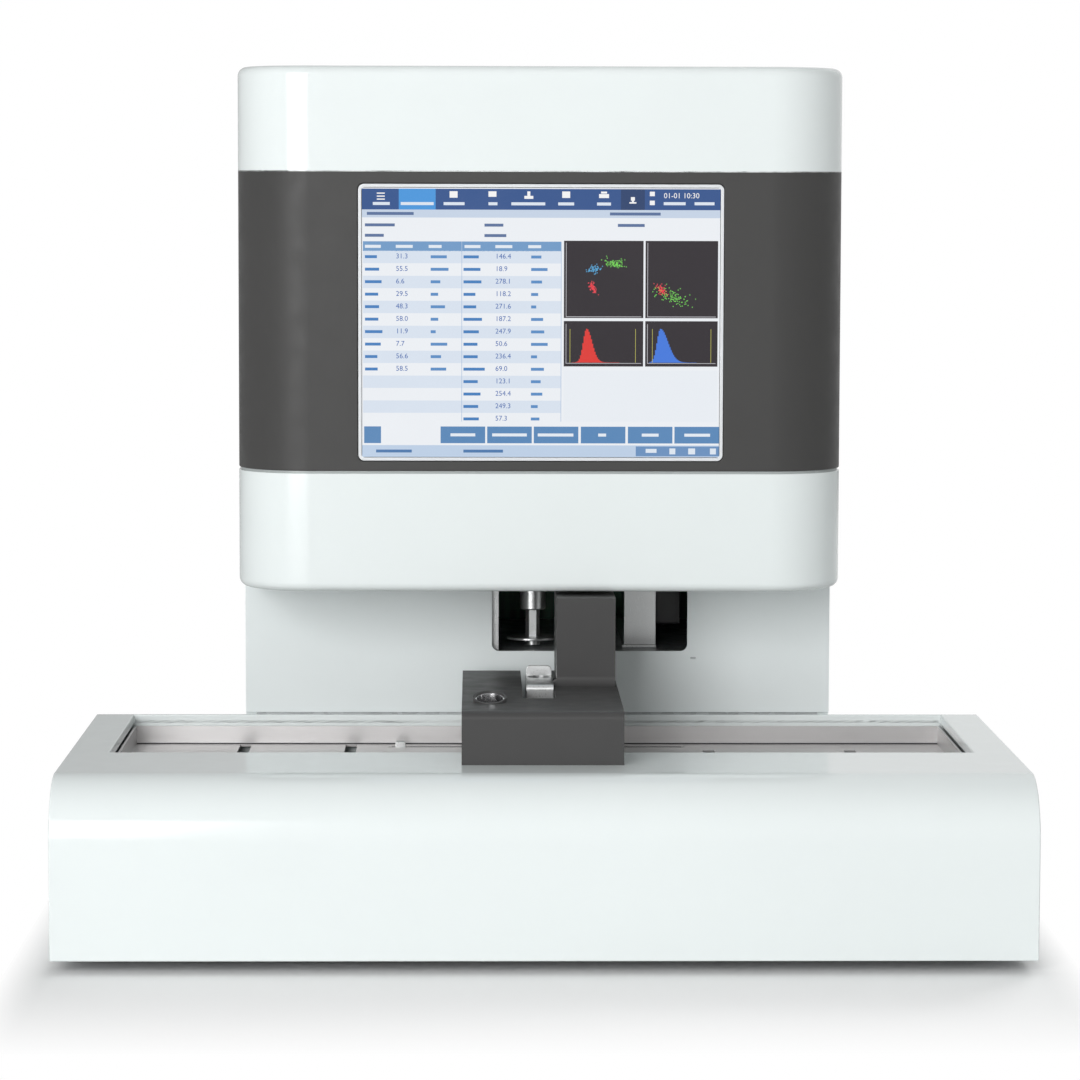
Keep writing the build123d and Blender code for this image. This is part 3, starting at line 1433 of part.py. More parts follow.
with BuildPart() as spinner_bracket:
    with BuildSketch(facing_right(spinner_bracket_x)):
        rectangle_between(bulkhead_back_y + 5.0, spinner_y + 24.0, shelf_z, spinner_arm_z + 4.0)
    extrude(amount=5.0)
    with BuildSketch(level(spinner_arm_z)):
        rectangle_between(spinner_bracket_x, spinner_x + 13.0, spinner_y - 16.0, spinner_y + 16.0)
        with Locations((spinner_x, spinner_y)):
            Circle(spinner_motor_radius / 2, mode=Mode.SUBTRACT)
    extrude(amount=4.0)
spinner_bracket.part.label = "spinner_bracket"
export_step(spinner_bracket.part, "parts/spinner_bracket.step")

with BuildPart() as spinner_motor:
    with BuildSketch(level(spinner_motor_bottom_z)):
        with Locations((spinner_x, spinner_y)):
            Circle(spinner_motor_radius)
    extrude(amount=spinner_arm_z - spinner_motor_bottom_z)
    fillet(spinner_motor.edges().group_by(Axis.Z)[0], 1.0)
    with BuildSketch(level(spinner_motor_bottom_z)):
        with Locations((spinner_x, spinner_y)):
            Circle(spinner_shaft_radius + pin_clearance)
    extrude(amount=20.0, mode=Mode.SUBTRACT)
    with BuildSketch(level(spinner_arm_z)):
        with Locations((spinner_x, spinner_y)):
            Circle(spinner_motor_radius / 2 - fit_clearance)
    extrude(amount=4.0)
spinner_motor.part.label = "spinner_motor"
export_step(spinner_motor.part, "parts/spinner_motor.step")

with BuildPart() as spinner_roller:
    with BuildSketch(level(spinner_disc_z)):
        with Locations((spinner_x, spinner_y)):
            Circle(spinner_disc_radius)
    extrude(amount=spinner_disc_thickness)
    fillet(spinner_roller.edges(), 0.6)
    with BuildSketch(level(spinner_disc_z - 4.0)):
        with Locations((spinner_x, spinner_y)):
            Circle(spinner_hub_radius)
    extrude(amount=4.5)
    with BuildSketch(level(spinner_disc_z + spinner_disc_thickness)):
        with Locations((spinner_x, spinner_y)):
            RegularPolygon(spinner_hub_radius, 6)
    extrude(amount=spinner_motor_bottom_z - spinner_disc_z - spinner_disc_thickness - slide_gap)
    with BuildSketch(level(spinner_disc_z + spinner_disc_thickness)):
        with Locations((spinner_x, spinner_y)):
            Circle(spinner_shaft_radius)
    extrude(amount=spinner_motor_bottom_z + 16.0 - spinner_disc_z - spinner_disc_thickness)
spinner_roller.part.label = "spinner_roller"
export_step(spinner_roller.part, "parts/spinner_roller.step")

reader_bottom_z = 178.0
with BuildPart() as code_reader:
    with BuildSketch(facing_right(sampling_plate_x)):
        rectangle_between(sampling_plate_front_y, sampling_plate_front_y + 42.0, reader_bottom_z, 236.0)
        fillet(vertices(), 2.0)
    extrude(amount=17.0)
code_reader.part.label = "code_reader"
export_step(code_reader.part, "parts/code_reader.step")

# Fluidics and electronics
cup_radius = 14.0
cup_wall = 3.0
cup_height = 24.0
carriage_travel = 110.0

with BuildPart() as reaction_cup:
    with BuildSketch(level(shelf_z)):
        with Locations((probe_x, probe_y + carriage_travel)):
            Circle(cup_radius)
    extrude(amount=cup_height)
    with BuildSketch(level(shelf_z)):
        with Locations((probe_x, probe_y + carriage_travel)):
            RectangleRounded(2 * cup_radius + 6, 2 * cup_radius + 6, 4.0)
    extrude(amount=cup_wall)
    with BuildSketch(level(shelf_z + cup_height)):
        with Locations((probe_x, probe_y + carriage_travel)):
            Circle(cup_radius - cup_wall)
    extrude(amount=cup_wall - cup_height, taper=8, mode=Mode.SUBTRACT)
reaction_cup.part.label = "reaction_cup"
export_step(reaction_cup.part, "parts/reaction_cup.step")

board_y = 226.0
board_thickness = 2.0
board_components = (
    (-70.0, 300.0, 36.0, 36.0, 4.0),
    (-10.0, 300.0, 60.0, 18.0, 9.0),
    (60.0, 300.0, 24.0, 24.0, 6.0),
    (-90.0, 230.0, 20.0, 40.0, 12.0),
    (-30.0, 230.0, 50.0, 24.0, 5.0),
    (40.0, 225.0, 16.0, 50.0, 14.0),
    (90.0, 240.0, 30.0, 30.0, 8.0),
)

with BuildPart() as main_board:
    with BuildSketch(facing_front(board_y + board_thickness)):
        rectangle_between(-130.0, 130.0, shelf_z, sampling_plate_top_z + 10.0)
    extrude(amount=board_thickness)
    for chip_x, chip_z, chip_width, chip_height, chip_depth in board_components:
        with BuildSketch(facing_front(board_y + board_thickness)):
            with Locations((chip_x, chip_z)):
                Rectangle(chip_width, chip_height)
        extrude(amount=-chip_depth)
main_board.part.label = "main_board"
export_step(main_board.part, "parts/main_board.step")

supply_x = (-184.0, -84.0)
supply_y = (60.0, 250.0)
supply_height = 78.0
supply_corner_radius = 2.0
supply_vent = (10.0, 4.0)
supply_vent_pitch = 14.0
supply_vent_depth = 3.0

with BuildPart() as power_supply:
    with BuildSketch(level(pan_top_z)):
        rectangle_between(*supply_x, *supply_y)
    extrude(amount=supply_height)
    fillet(power_supply.edges().filter_by(Axis.Z), supply_corner_radius)
    with BuildSketch(facing_right(supply_x[1])):
        with Locations((sum(supply_y) / 2, pan_top_z + supply_height / 2)):
            with GridLocations(supply_vent_pitch, supply_vent_pitch, 10, 4):
                SlotOverall(*supply_vent)
    extrude(amount=-supply_vent_depth, mode=Mode.SUBTRACT)
power_supply.part.label = "power_supply"
export_step(power_supply.part, "parts/power_supply.step")

syringe_x = 150.0
syringe_y = (90.0, 130.0)
syringe_plate_x = 128.0
syringe_plate = 3.0
syringe_plate_y = (60.0, 160.0)
syringe_plate_hole = (60.0, 30.0)
syringe_foot_width = 44.0
clamp_y = (70.0, 150.0)
clamp_thickness = 6.0
clamp_from_ends = (4.0, 10.0)
barrel_outer = 8.0
barrel_bore = 6.0
barrel_bottom_z = 84.0
barrel_length = 56.0
barrel_outlet_radius = 1.5
barrel_crown = 4.0
plunger_top_z = 92.0
plunger_rod = 2.0
plunger_bar_z = 36.0
plunger_bar = 8.0
plunger_bar_overhang = 12.0
piston_length = 5.0

with BuildPart() as syringe_frame:
    with BuildSketch(facing_right(syringe_plate_x)):
        rectangle_between(*syringe_plate_y, pan_top_z, shelf_z - sheet - seat_gap)
        with Locations((sum(syringe_plate_y) / 2, pan_top_z + 1.5 * syringe_plate_hole[1])):
            Rectangle(*syringe_plate_hole, mode=Mode.SUBTRACT)
    extrude(amount=syringe_plate)
    with BuildSketch(level(pan_top_z)):
        rectangle_between(syringe_plate_x, syringe_plate_x + syringe_foot_width, *syringe_plate_y)
    extrude(amount=syringe_plate)
    for clamp_z in (
        barrel_bottom_z + clamp_from_ends[0],
        barrel_bottom_z + barrel_length - clamp_from_ends[1],
    ):
        with BuildSketch(level(clamp_z)):
            rectangle_between(syringe_plate_x, syringe_x + plunger_bar_overhang, *clamp_y)
            with Locations(*[(syringe_x, y) for y in syringe_y]):
                Circle(barrel_outer + fit_clearance, mode=Mode.SUBTRACT)
        extrude(amount=clamp_thickness)
syringe_frame.part.label = "syringe_frame"
export_step(syringe_frame.part, "parts/syringe_frame.step")

with BuildPart() as syringe_barrels:
    with BuildSketch(level(barrel_bottom_z)):
        with Locations(*[(syringe_x, y) for y in syringe_y]):
            Circle(barrel_outer)
            Circle(barrel_bore, mode=Mode.SUBTRACT)
    extrude(amount=barrel_length)
    with BuildSketch(level(barrel_bottom_z + barrel_length)):
        with Locations(*[(syringe_x, y) for y in syringe_y]):
            Circle(barrel_outer)
            Circle(barrel_outlet_radius, mode=Mode.SUBTRACT)
    extrude(amount=barrel_crown)
syringe_barrels.part.label = "syringe_barrels"
export_step(syringe_barrels.part, "parts/syringe_barrels.step")

with BuildPart() as syringe_plungers:
    with BuildSketch(level(plunger_bar_z)):
        rectangle_between(
            syringe_plate_x + syringe_plate + seat_gap,
            syringe_x + plunger_bar_overhang,
            syringe_y[0] - plunger_bar_overhang,
            syringe_y[1] + plunger_bar_overhang,
        )
    extrude(amount=plunger_bar)
    with BuildSketch(level(plunger_bar_z + plunger_bar)):
        with Locations(*[(syringe_x, y) for y in syringe_y]):
            Circle(plunger_rod)
    extrude(amount=plunger_top_z - plunger_bar_z - plunger_bar)
    with BuildSketch(level(plunger_top_z)):
        with Locations(*[(syringe_x, y) for y in syringe_y]):
            Circle(barrel_bore - pin_clearance)
    extrude(amount=piston_length)
syringe_plungers.part.label = "syringe_plungers"
export_step(syringe_plungers.part, "parts/syringe_plungers.step")
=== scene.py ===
"""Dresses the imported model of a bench-top hematology analyzer and sets it on a pale studio floor."""

import json
import random
from math import cos, pi, radians, sin, tan

import bpy
from mathutils import Matrix, Vector


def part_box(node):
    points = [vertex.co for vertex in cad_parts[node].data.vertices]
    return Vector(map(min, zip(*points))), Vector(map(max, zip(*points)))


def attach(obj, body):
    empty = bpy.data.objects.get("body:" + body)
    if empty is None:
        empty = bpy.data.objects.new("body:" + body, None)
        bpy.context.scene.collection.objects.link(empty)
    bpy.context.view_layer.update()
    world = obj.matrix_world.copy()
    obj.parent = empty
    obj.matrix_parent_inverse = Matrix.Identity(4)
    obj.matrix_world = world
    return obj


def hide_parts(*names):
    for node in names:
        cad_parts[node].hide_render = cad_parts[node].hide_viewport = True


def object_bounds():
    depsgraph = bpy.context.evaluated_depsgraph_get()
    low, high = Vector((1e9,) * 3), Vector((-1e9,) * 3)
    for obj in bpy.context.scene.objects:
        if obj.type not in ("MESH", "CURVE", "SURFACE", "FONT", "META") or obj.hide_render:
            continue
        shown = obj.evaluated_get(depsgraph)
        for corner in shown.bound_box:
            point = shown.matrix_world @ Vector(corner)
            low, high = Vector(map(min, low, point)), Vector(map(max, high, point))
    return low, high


bl_info = {
    "name": "Hematology analyzer",
    "version": (1, 0, 0),
    "blender": (4, 5, 0),
    "location": "View3D > Sidebar > Analyzer",
    "description": "Models the casings, screen, rack loader and sampling parts around the packed solids",
    "category": "Object",
}

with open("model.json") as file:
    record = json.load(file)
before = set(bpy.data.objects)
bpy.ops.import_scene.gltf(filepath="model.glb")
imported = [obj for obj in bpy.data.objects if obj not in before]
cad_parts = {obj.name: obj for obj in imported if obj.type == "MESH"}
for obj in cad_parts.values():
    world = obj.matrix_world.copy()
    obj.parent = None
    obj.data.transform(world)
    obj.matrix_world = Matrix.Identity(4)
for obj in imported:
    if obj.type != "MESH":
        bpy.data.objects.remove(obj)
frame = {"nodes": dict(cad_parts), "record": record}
cad_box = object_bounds()
nodes = frame["nodes"]
home = {node: body for body, members in frame["record"]["behaviour"]["bodies"].items() for node in members}
finish_of = {entry["node"]: entry["material_slot"] for entry in frame["record"]["subparts"]}
mm = 0.001


# Sizes and colours that a user would change
class CasingSettings(bpy.types.PropertyGroup):
    """Sizes and colours of the white and dark mouldings."""

    white: bpy.props.FloatVectorProperty(
        name="White", description="Colour of the white mouldings", default=(0.85, 0.90, 0.895), size=3,
        subtype="COLOR",
    )
    panel_white: bpy.props.FloatVectorProperty(
        name="Panel white", description="Colour of the painted panels", default=(0.80, 0.85, 0.85), size=3,
        subtype="COLOR",
    )
    band: bpy.props.FloatVectorProperty(
        name="Band", description="Colour of the dark band", default=(0.063, 0.062, 0.061), size=3,
        subtype="COLOR",
    )
    cover: bpy.props.FloatVectorProperty(
        name="Cover", description="Colour of the sampling cover", default=(0.058, 0.057, 0.057), size=3,
        subtype="COLOR",
    )
    corner_radius: bpy.props.FloatProperty(
        name="Front corners", description="Radius of the head's front corners", default=50 * mm, min=5 * mm,
        unit="LENGTH",
    )
    back_radius: bpy.props.FloatProperty(
        name="Rear corners", description="Radius of the cap's rear corners", default=20 * mm, min=5 * mm,
        unit="LENGTH",
    )
    edge_radius: bpy.props.FloatProperty(
        name="Outer edges", description="Radius of the cap's top and the chin's bottom edge", default=6 * mm,
        unit="LENGTH",
    )
    wall: bpy.props.FloatProperty(
        name="Wall", description="Thickness of the moulded walls", default=3 * mm, unit="LENGTH"
    )
    softening: bpy.props.FloatProperty(
        name="Softening", description="Radius of the small edges", default=1.2 * mm, unit="LENGTH"
    )


class LoaderSettings(bpy.types.PropertyGroup):
    """Sizes of the rack loader and of the sampling cover on it."""

    front_radius: bpy.props.FloatProperty(
        name="Front radius", description="Radius of the loader's top front edge", default=38 * mm,
        unit="LENGTH",
    )
    recess_half: bpy.props.FloatProperty(
        name="Recess half width", description="Half of the recess for the racks", default=280 * mm,
        unit="LENGTH",
    )
    recess_front: bpy.props.FloatProperty(
        name="Recess front", description="Place of the recess's front wall", default=-193 * mm, unit="LENGTH"
    )
    recess_back: bpy.props.FloatProperty(
        name="Recess back", description="Place of the recess's back wall", default=-9 * mm, unit="LENGTH"
    )
    lip: bpy.props.FloatProperty(
        name="Lip", description="Height of the wall round the recess", default=6.8 * mm, unit="LENGTH"
    )
    steel: bpy.props.FloatVectorProperty(
        name="Tray steel", description="Colour of the stainless tray", default=(0.56, 0.55, 0.548), size=3,
        subtype="COLOR",
    )
    notch_left: bpy.props.FloatProperty(
        name="Notch left", description="Left side of the cover's notch", default=-12.4 * mm, unit="LENGTH"
    )
    notch_right: bpy.props.FloatProperty(
        name="Notch right", description="Right side of the cover's notch", default=9.0 * mm, unit="LENGTH"
    )
    notch_front: bpy.props.FloatProperty(
        name="Notch front", description="Front end of the cover's notch", default=-183.2 * mm, unit="LENGTH"
    )
    hood_left: bpy.props.FloatProperty(
        name="Hood left", description="Left side of the hood", default=10.9 * mm, unit="LENGTH"
    )
    hood_right: bpy.props.FloatProperty(
        name="Hood right", description="Right side of the hood", default=49.8 * mm, unit="LENGTH"
    )
    hood_front: bpy.props.FloatProperty(
        name="Hood front", description="Front face of the hood", default=-119.0 * mm, unit="LENGTH"
    )
    cover_top: bpy.props.FloatProperty(
        name="Cover top", description="Height of the cover's flat top", default=154.3 * mm, unit="LENGTH"
    )


class ScreenSettings(bpy.types.PropertyGroup):
    """Colours and strength of the screen's picture."""

    glow: bpy.props.FloatProperty(
        name="Glow", description="Strength of the picture's own light", default=0.88, min=0.0
    )
    bar: bpy.props.FloatVectorProperty(
        name="Bar", description="Colour of the top bar and the buttons", default=(0.022, 0.085, 0.28), size=3,
        subtype="COLOR",
    )
    seed: bpy.props.IntProperty(name="Seed", description="Order of the dots in the plots", default=7)


class StageSettings(bpy.types.PropertyGroup):
    """Light and floor of the studio."""

    sky: bpy.props.FloatProperty(name="Sky", description="Strength of the even light", default=0.40, min=0.0)
    key: bpy.props.FloatProperty(
        name="Key light", description="Power of the large lamp at the front left", default=69.0, unit="POWER"
    )
    fill: bpy.props.FloatProperty(
        name="Fill light", description="Power of the lamp behind the right side", default=42.0, unit="POWER"
    )
    shadow_reach: bpy.props.FloatProperty(
        name="Shadow reach", description="Distance over which the floor turns white", default=230 * mm,
        unit="LENGTH",
    )
    focal_length: bpy.props.FloatProperty(
        name="Focal length", description="Camera's focal length in millimetres", default=130.81, unit="CAMERA"
    )


# Hand modelling
def let_go():
    """Leaves edit mode and deselects everything."""
    if bpy.context.object and bpy.context.object.mode != "OBJECT":
        bpy.ops.object.mode_set(mode="OBJECT")
    bpy.ops.object.select_all(action="DESELECT")


def take(piece):
    """Makes the piece the only selected and active one, in object mode."""
    let_go()
    piece.select_set(True)
    bpy.context.view_layer.objects.active = piece


def settle(piece, name):
    """Names a new primitive and puts its place, turn and size into its mesh."""
    piece.name = name
    piece.data.name = name
    take(piece)
    bpy.ops.object.transform_apply(location=True, rotation=True, scale=True)
    return piece


def block(name, low, high):
    """Adds a block between two corners."""
    let_go()
    low, high = Vector(low), Vector(high)
    bpy.ops.mesh.primitive_cube_add(size=1, location=(low + high) / 2, scale=high - low)
    return settle(bpy.context.object, name)


def round_bar(name, start, end, radius, sides=64):
    """Adds a closed cylinder from one point to another."""
    let_go()
    start, end = Vector(start), Vector(end)
    way = end - start
    turn = way.to_track_quat("Z", "Y").to_euler()
    bpy.ops.mesh.primitive_cylinder_add(
        vertices=sides, radius=radius, depth=way.length, location=(start + end) / 2, rotation=turn
    )
    return settle(bpy.context.object, name)


def choose(piece, kind, test):
    """Opens the piece and selects its vertices, edges or faces that pass the test on their points."""
    take(piece)
    bpy.ops.object.mode_set(mode="EDIT")
    bpy.ops.mesh.select_mode(type=kind)
    bpy.ops.mesh.select_all(action="DESELECT")
    bpy.ops.object.mode_set(mode="OBJECT")
    mesh = piece.data
    points = mesh.vertices
    groups = {"VERT": mesh.vertices, "EDGE": mesh.edges, "FACE": mesh.polygons}
    found = 0
    for item in groups[kind]:
        if kind == "VERT":
            item.select = test(item.co)
        elif kind == "EDGE":
            item.select = test(points[item.vertices[0]].co, points[item.vertices[1]].co)
        else:
            item.select = test(item.center, item.normal)
        found += item.select
    bpy.ops.object.mode_set(mode="EDIT")
    if not found:
        raise RuntimeError(f"{piece.name}: nothing to choose")


def near(value, target, slack=0.05 * mm):
    """Whether two lengths are the same, within the slack."""
    return abs(value - target) < slack


def between(value, low, high):
    """Whether a length lies between two others, within a millimetre."""
    return low - mm < value < high + mm


def along(axis, value):
    """Test for edges that lie in a plane across the axis."""
    return lambda a, b: near(a[axis], value) and near(b[axis], value)


def both(first, second):
    """Test for edges that pass two tests."""
    return lambda a, b: first(a, b) and second(a, b)


def upright(a, b):
    """Whether an edge stands upright."""
    return near(a.x, b.x) and near(a.y, b.y)


def bevel(piece, test, radius, segments):
    """Rounds the edges that pass the test."""
    choose(piece, "EDGE", test)
    bpy.ops.mesh.bevel(
        offset=radius, offset_type="OFFSET", segments=segments, affect="EDGES", clamp_overlap=False
    )
    let_go()


def drop(piece, test):
    """Deletes the faces that pass the test."""
    choose(piece, "FACE", test)
    bpy.ops.mesh.delete(type="FACE")
    let_go()


def slice_at(piece, point, normal):
    """Cuts new edges round the piece where a plane passes through it."""
    take(piece)
    bpy.ops.object.mode_set(mode="EDIT")
    bpy.ops.mesh.select_all(action="SELECT")
    bpy.ops.mesh.bisect(plane_co=point, plane_no=normal)
    let_go()


def pull(piece, test, move):
    """Extrudes the faces that pass the test."""
    choose(piece, "FACE", test)
    bpy.ops.mesh.extrude_region_move(TRANSFORM_OT_translate={"value": move})
    let_go()


def apply_modifier(piece, kind, **values):
    """Adds a modifier with these values and applies it."""
    take(piece)
    modifier = piece.modifiers.new(kind.title(), kind)
    for key, value in values.items():
        setattr(modifier, key, value)
    bpy.ops.object.modifier_apply(modifier=modifier.name)


def thicken(piece, wall, even=True):
    """Gives an open skin its wall, on the inside."""
    apply_modifier(piece, "SOLIDIFY", thickness=wall, offset=-1.0, use_even_offset=even)


def combine(piece, other, operation):
    """Cuts the other body out of the piece, or joins it to the piece, and removes it."""
    apply_modifier(piece, "BOOLEAN", object=other, operation=operation, solver="EXACT")
    bpy.data.objects.remove(other)


def soften(piece, width, segments=2, angle=35.0):
    """Rounds every edge sharper than the angle."""
    apply_modifier(
        piece, "BEVEL", width=width, segments=segments, limit_method="ANGLE", angle_limit=radians(angle),
        harden_normals=False, use_clamp_overlap=True,
    )


def finish_piece(piece, finish, node, body=None, angle=35.0):
    """Smooths the piece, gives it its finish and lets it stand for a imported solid."""
    take(piece)
    bpy.ops.object.shade_smooth_by_angle(angle=radians(angle))
    apply_modifier(piece, "WEIGHTED_NORMAL", mode="FACE_AREA", weight=100, keep_sharp=True)
    piece.data.materials.clear()
    piece.data.materials.append(finish)
    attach(piece, body or home[node])
    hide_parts(node)
    let_go()
    return piece


def refined(node, width, finish, segments=2, angle=35.0, trim=None):
    """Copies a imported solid, joins its loose triangles, trims it and rounds its sharp edges."""
    mesh = nodes[node].data.copy()
    piece = bpy.data.objects.new(f"{node}_refined", mesh)
    bpy.context.scene.collection.objects.link(piece)
    take(piece)
    bpy.ops.mesh.customdata_custom_splitnormals_clear()
    bpy.ops.object.mode_set(mode="EDIT")
    bpy.ops.mesh.select_all(action="SELECT")
    bpy.ops.mesh.remove_doubles(threshold=0.002 * mm)
    bpy.ops.mesh.dissolve_limited(angle_limit=radians(0.5))
    let_go()
    if trim:
        combine(piece, trim, "DIFFERENCE")
    if width:
        soften(piece, width, segments, angle)
    return finish_piece(piece, finish, node, angle=angle)


# Finishes
def blank_material(name):
    """Starts a node material and gives it, its nodes, links and main shader."""
    material = bpy.data.materials.new(name)
    material.use_nodes = True
    tree = material.node_tree
    return material, tree.nodes, tree.links, tree.nodes["Principled BSDF"]


def grain(tree_nodes, links, scale, stretch=(1.0, 1.0, 1.0), detail=4.0):
    """Noise fixed to the piece, with its grain stretched along the axes."""
    place = tree_nodes.new("ShaderNodeTexCoord")
    mapping = tree_nodes.new("ShaderNodeMapping")
    mapping.inputs["Scale"].default_value = stretch
    noise = tree_nodes.new("ShaderNodeTexNoise")
    noise.inputs["Scale"].default_value = scale
    noise.inputs["Detail"].default_value = detail
    links.new(place.outputs["Object"], mapping.inputs["Vector"])
    links.new(mapping.outputs["Vector"], noise.inputs["Vector"])
    return noise.outputs["Fac"]


def spread(tree_nodes, links, source, low, high, start=0.3, end=0.7):
    """Turns a range of the source, at first the middle of a noise, into values between low and high."""
    span = tree_nodes.new("ShaderNodeMapRange")
    span.inputs["From Min"].default_value = start
    span.inputs["From Max"].default_value = end
    span.inputs["To Min"].default_value = low
    span.inputs["To Max"].default_value = high
    links.new(source, span.inputs["Value"])
    return span.outputs["Result"]


def tone(tree_nodes, links, shader, source, colour, change):
    """Lets the base colour wander a little round the given one."""
    ramp = tree_nodes.new("ShaderNodeValToRGB")
    ramp.color_ramp.elements[0].position = 0.3
    ramp.color_ramp.elements[1].position = 0.7
    ramp.color_ramp.elements[0].color = (*[part * (1 - change) for part in colour], 1.0)
    ramp.color_ramp.elements[1].color = (*[min(part * (1 + change), 1.0) for part in colour], 1.0)
    links.new(source, ramp.inputs["Fac"])
    links.new(ramp.outputs["Color"], shader.inputs["Base Color"])


def relief(tree_nodes, links, shader, source, strength, depth):
    """Raises the surface a little where the noise is high."""
    bump = tree_nodes.new("ShaderNodeBump")
    bump.inputs["Strength"].default_value = strength
    bump.inputs["Distance"].default_value = depth
    links.new(source, bump.inputs["Height"])
    links.new(bump.outputs["Normal"], shader.inputs["Normal"])


def moulded(name, colour, roughness, grain_scale, strength, change=0.012, shine=0.5):
    """Moulded or painted surface: faint clouds of tone, uneven sheen and a fine grain."""
    material, tree_nodes, links, shader = blank_material(name)
    clouds = grain(tree_nodes, links, 9.0, detail=2.0)
    tone(tree_nodes, links, shader, clouds, colour, change)
    sheen = grain(tree_nodes, links, 60.0)
    uneven = spread(tree_nodes, links, sheen, roughness * 0.85, roughness * 1.15)
    links.new(uneven, shader.inputs["Roughness"])
    relief(tree_nodes, links, shader, grain(tree_nodes, links, grain_scale, detail=3.0), strength, 0.1 * mm)
    shader.inputs["Specular IOR Level"].default_value = shine
    return material


def metal(name, colour, roughness, stretch, strength, scale=400.0, change=0.05, sheen=0.25):
    """Bare metal with streaks along the direction in which it was worked."""
    material, tree_nodes, links, shader = blank_material(name)
    streaks = grain(tree_nodes, links, scale, stretch)
    tone(tree_nodes, links, shader, streaks, colour, change)
    uneven = spread(tree_nodes, links, streaks, roughness * (1 - sheen), roughness * (1 + sheen))
    links.new(uneven, shader.inputs["Roughness"])
    shader.inputs["Metallic"].default_value = 1.0
    if strength:
        relief(tree_nodes, links, shader, streaks, strength, 0.05 * mm)
    return material


def spangled_zinc(name, colour):
    """Zinc-plated sheet with faint crystals."""
    material, tree_nodes, links, shader = blank_material(name)
    place = tree_nodes.new("ShaderNodeTexCoord")
    cells = tree_nodes.new("ShaderNodeTexVoronoi")
    cells.inputs["Scale"].default_value = 140.0
    links.new(place.outputs["Object"], cells.inputs["Vector"])
    split = tree_nodes.new("ShaderNodeSeparateColor")
    links.new(cells.outputs["Color"], split.inputs["Color"])
    tone(tree_nodes, links, shader, split.outputs["Red"], colour, 0.10)
    links.new(spread(tree_nodes, links, split.outputs["Green"], 0.34, 0.48), shader.inputs["Roughness"])
    shader.inputs["Metallic"].default_value = 0.4
    relief(tree_nodes, links, shader, grain(tree_nodes, links, 900.0), 0.05, 0.05 * mm)
    return material


def board_finish(name):
    """Circuit board: green lacquer over faint straight tracks."""
    material, tree_nodes, links, shader = blank_material(name)
    tracks = grain(tree_nodes, links, 260.0, (1.0, 1.0, 0.08), 1.0)
    tone(tree_nodes, links, shader, tracks, (0.012, 0.10, 0.045), 0.45)
    shader.inputs["Roughness"].default_value = 0.35
    relief(tree_nodes, links, shader, tracks, 0.2, 0.05 * mm)
    return material


def clear_finish(name, tint):
    """Clear glass with very faint waves."""
    material, tree_nodes, links, shader = blank_material(name)
    shader.inputs["Base Color"].default_value = (*tint, 1.0)
    shader.inputs["Transmission Weight"].default_value = 1.0
    shader.inputs["IOR"].default_value = 1.47
    waves = grain(tree_nodes, links, 40.0)
    links.new(spread(tree_nodes, links, waves, 0.01, 0.04), shader.inputs["Roughness"])
    relief(tree_nodes, links, shader, waves, 0.02, 0.05 * mm)
    return material


def lit_picture(name, glow):
    """Screen picture that glows in each tile's own tint, under a smooth surface."""
    material, tree_nodes, links, shader = blank_material(name)
    tint = tree_nodes.new("ShaderNodeAttribute")
    tint.attribute_name = "tint"
    dots = grain(tree_nodes, links, 3000.0, detail=0.0)
    flicker = spread(tree_nodes, links, dots, 0.97, 1.0)
    shade = tree_nodes.new("ShaderNodeMix")
    shade.data_type = "RGBA"
    shade.blend_type = "MULTIPLY"
    shade.inputs["Factor"].default_value = 1.0
    links.new(tint.outputs["Color"], shade.inputs["A"])
    links.new(flicker, shade.inputs["B"])
    links.new(shade.outputs["Result"], shader.inputs["Emission Color"])
    shader.inputs["Emission Strength"].default_value = glow
    shader.inputs["Base Color"].default_value = (0.01, 0.01, 0.012, 1.0)
    smear = grain(tree_nodes, links, 25.0)
    links.new(spread(tree_nodes, links, smear, 0.10, 0.18), shader.inputs["Roughness"])
    return material


finishes = {}


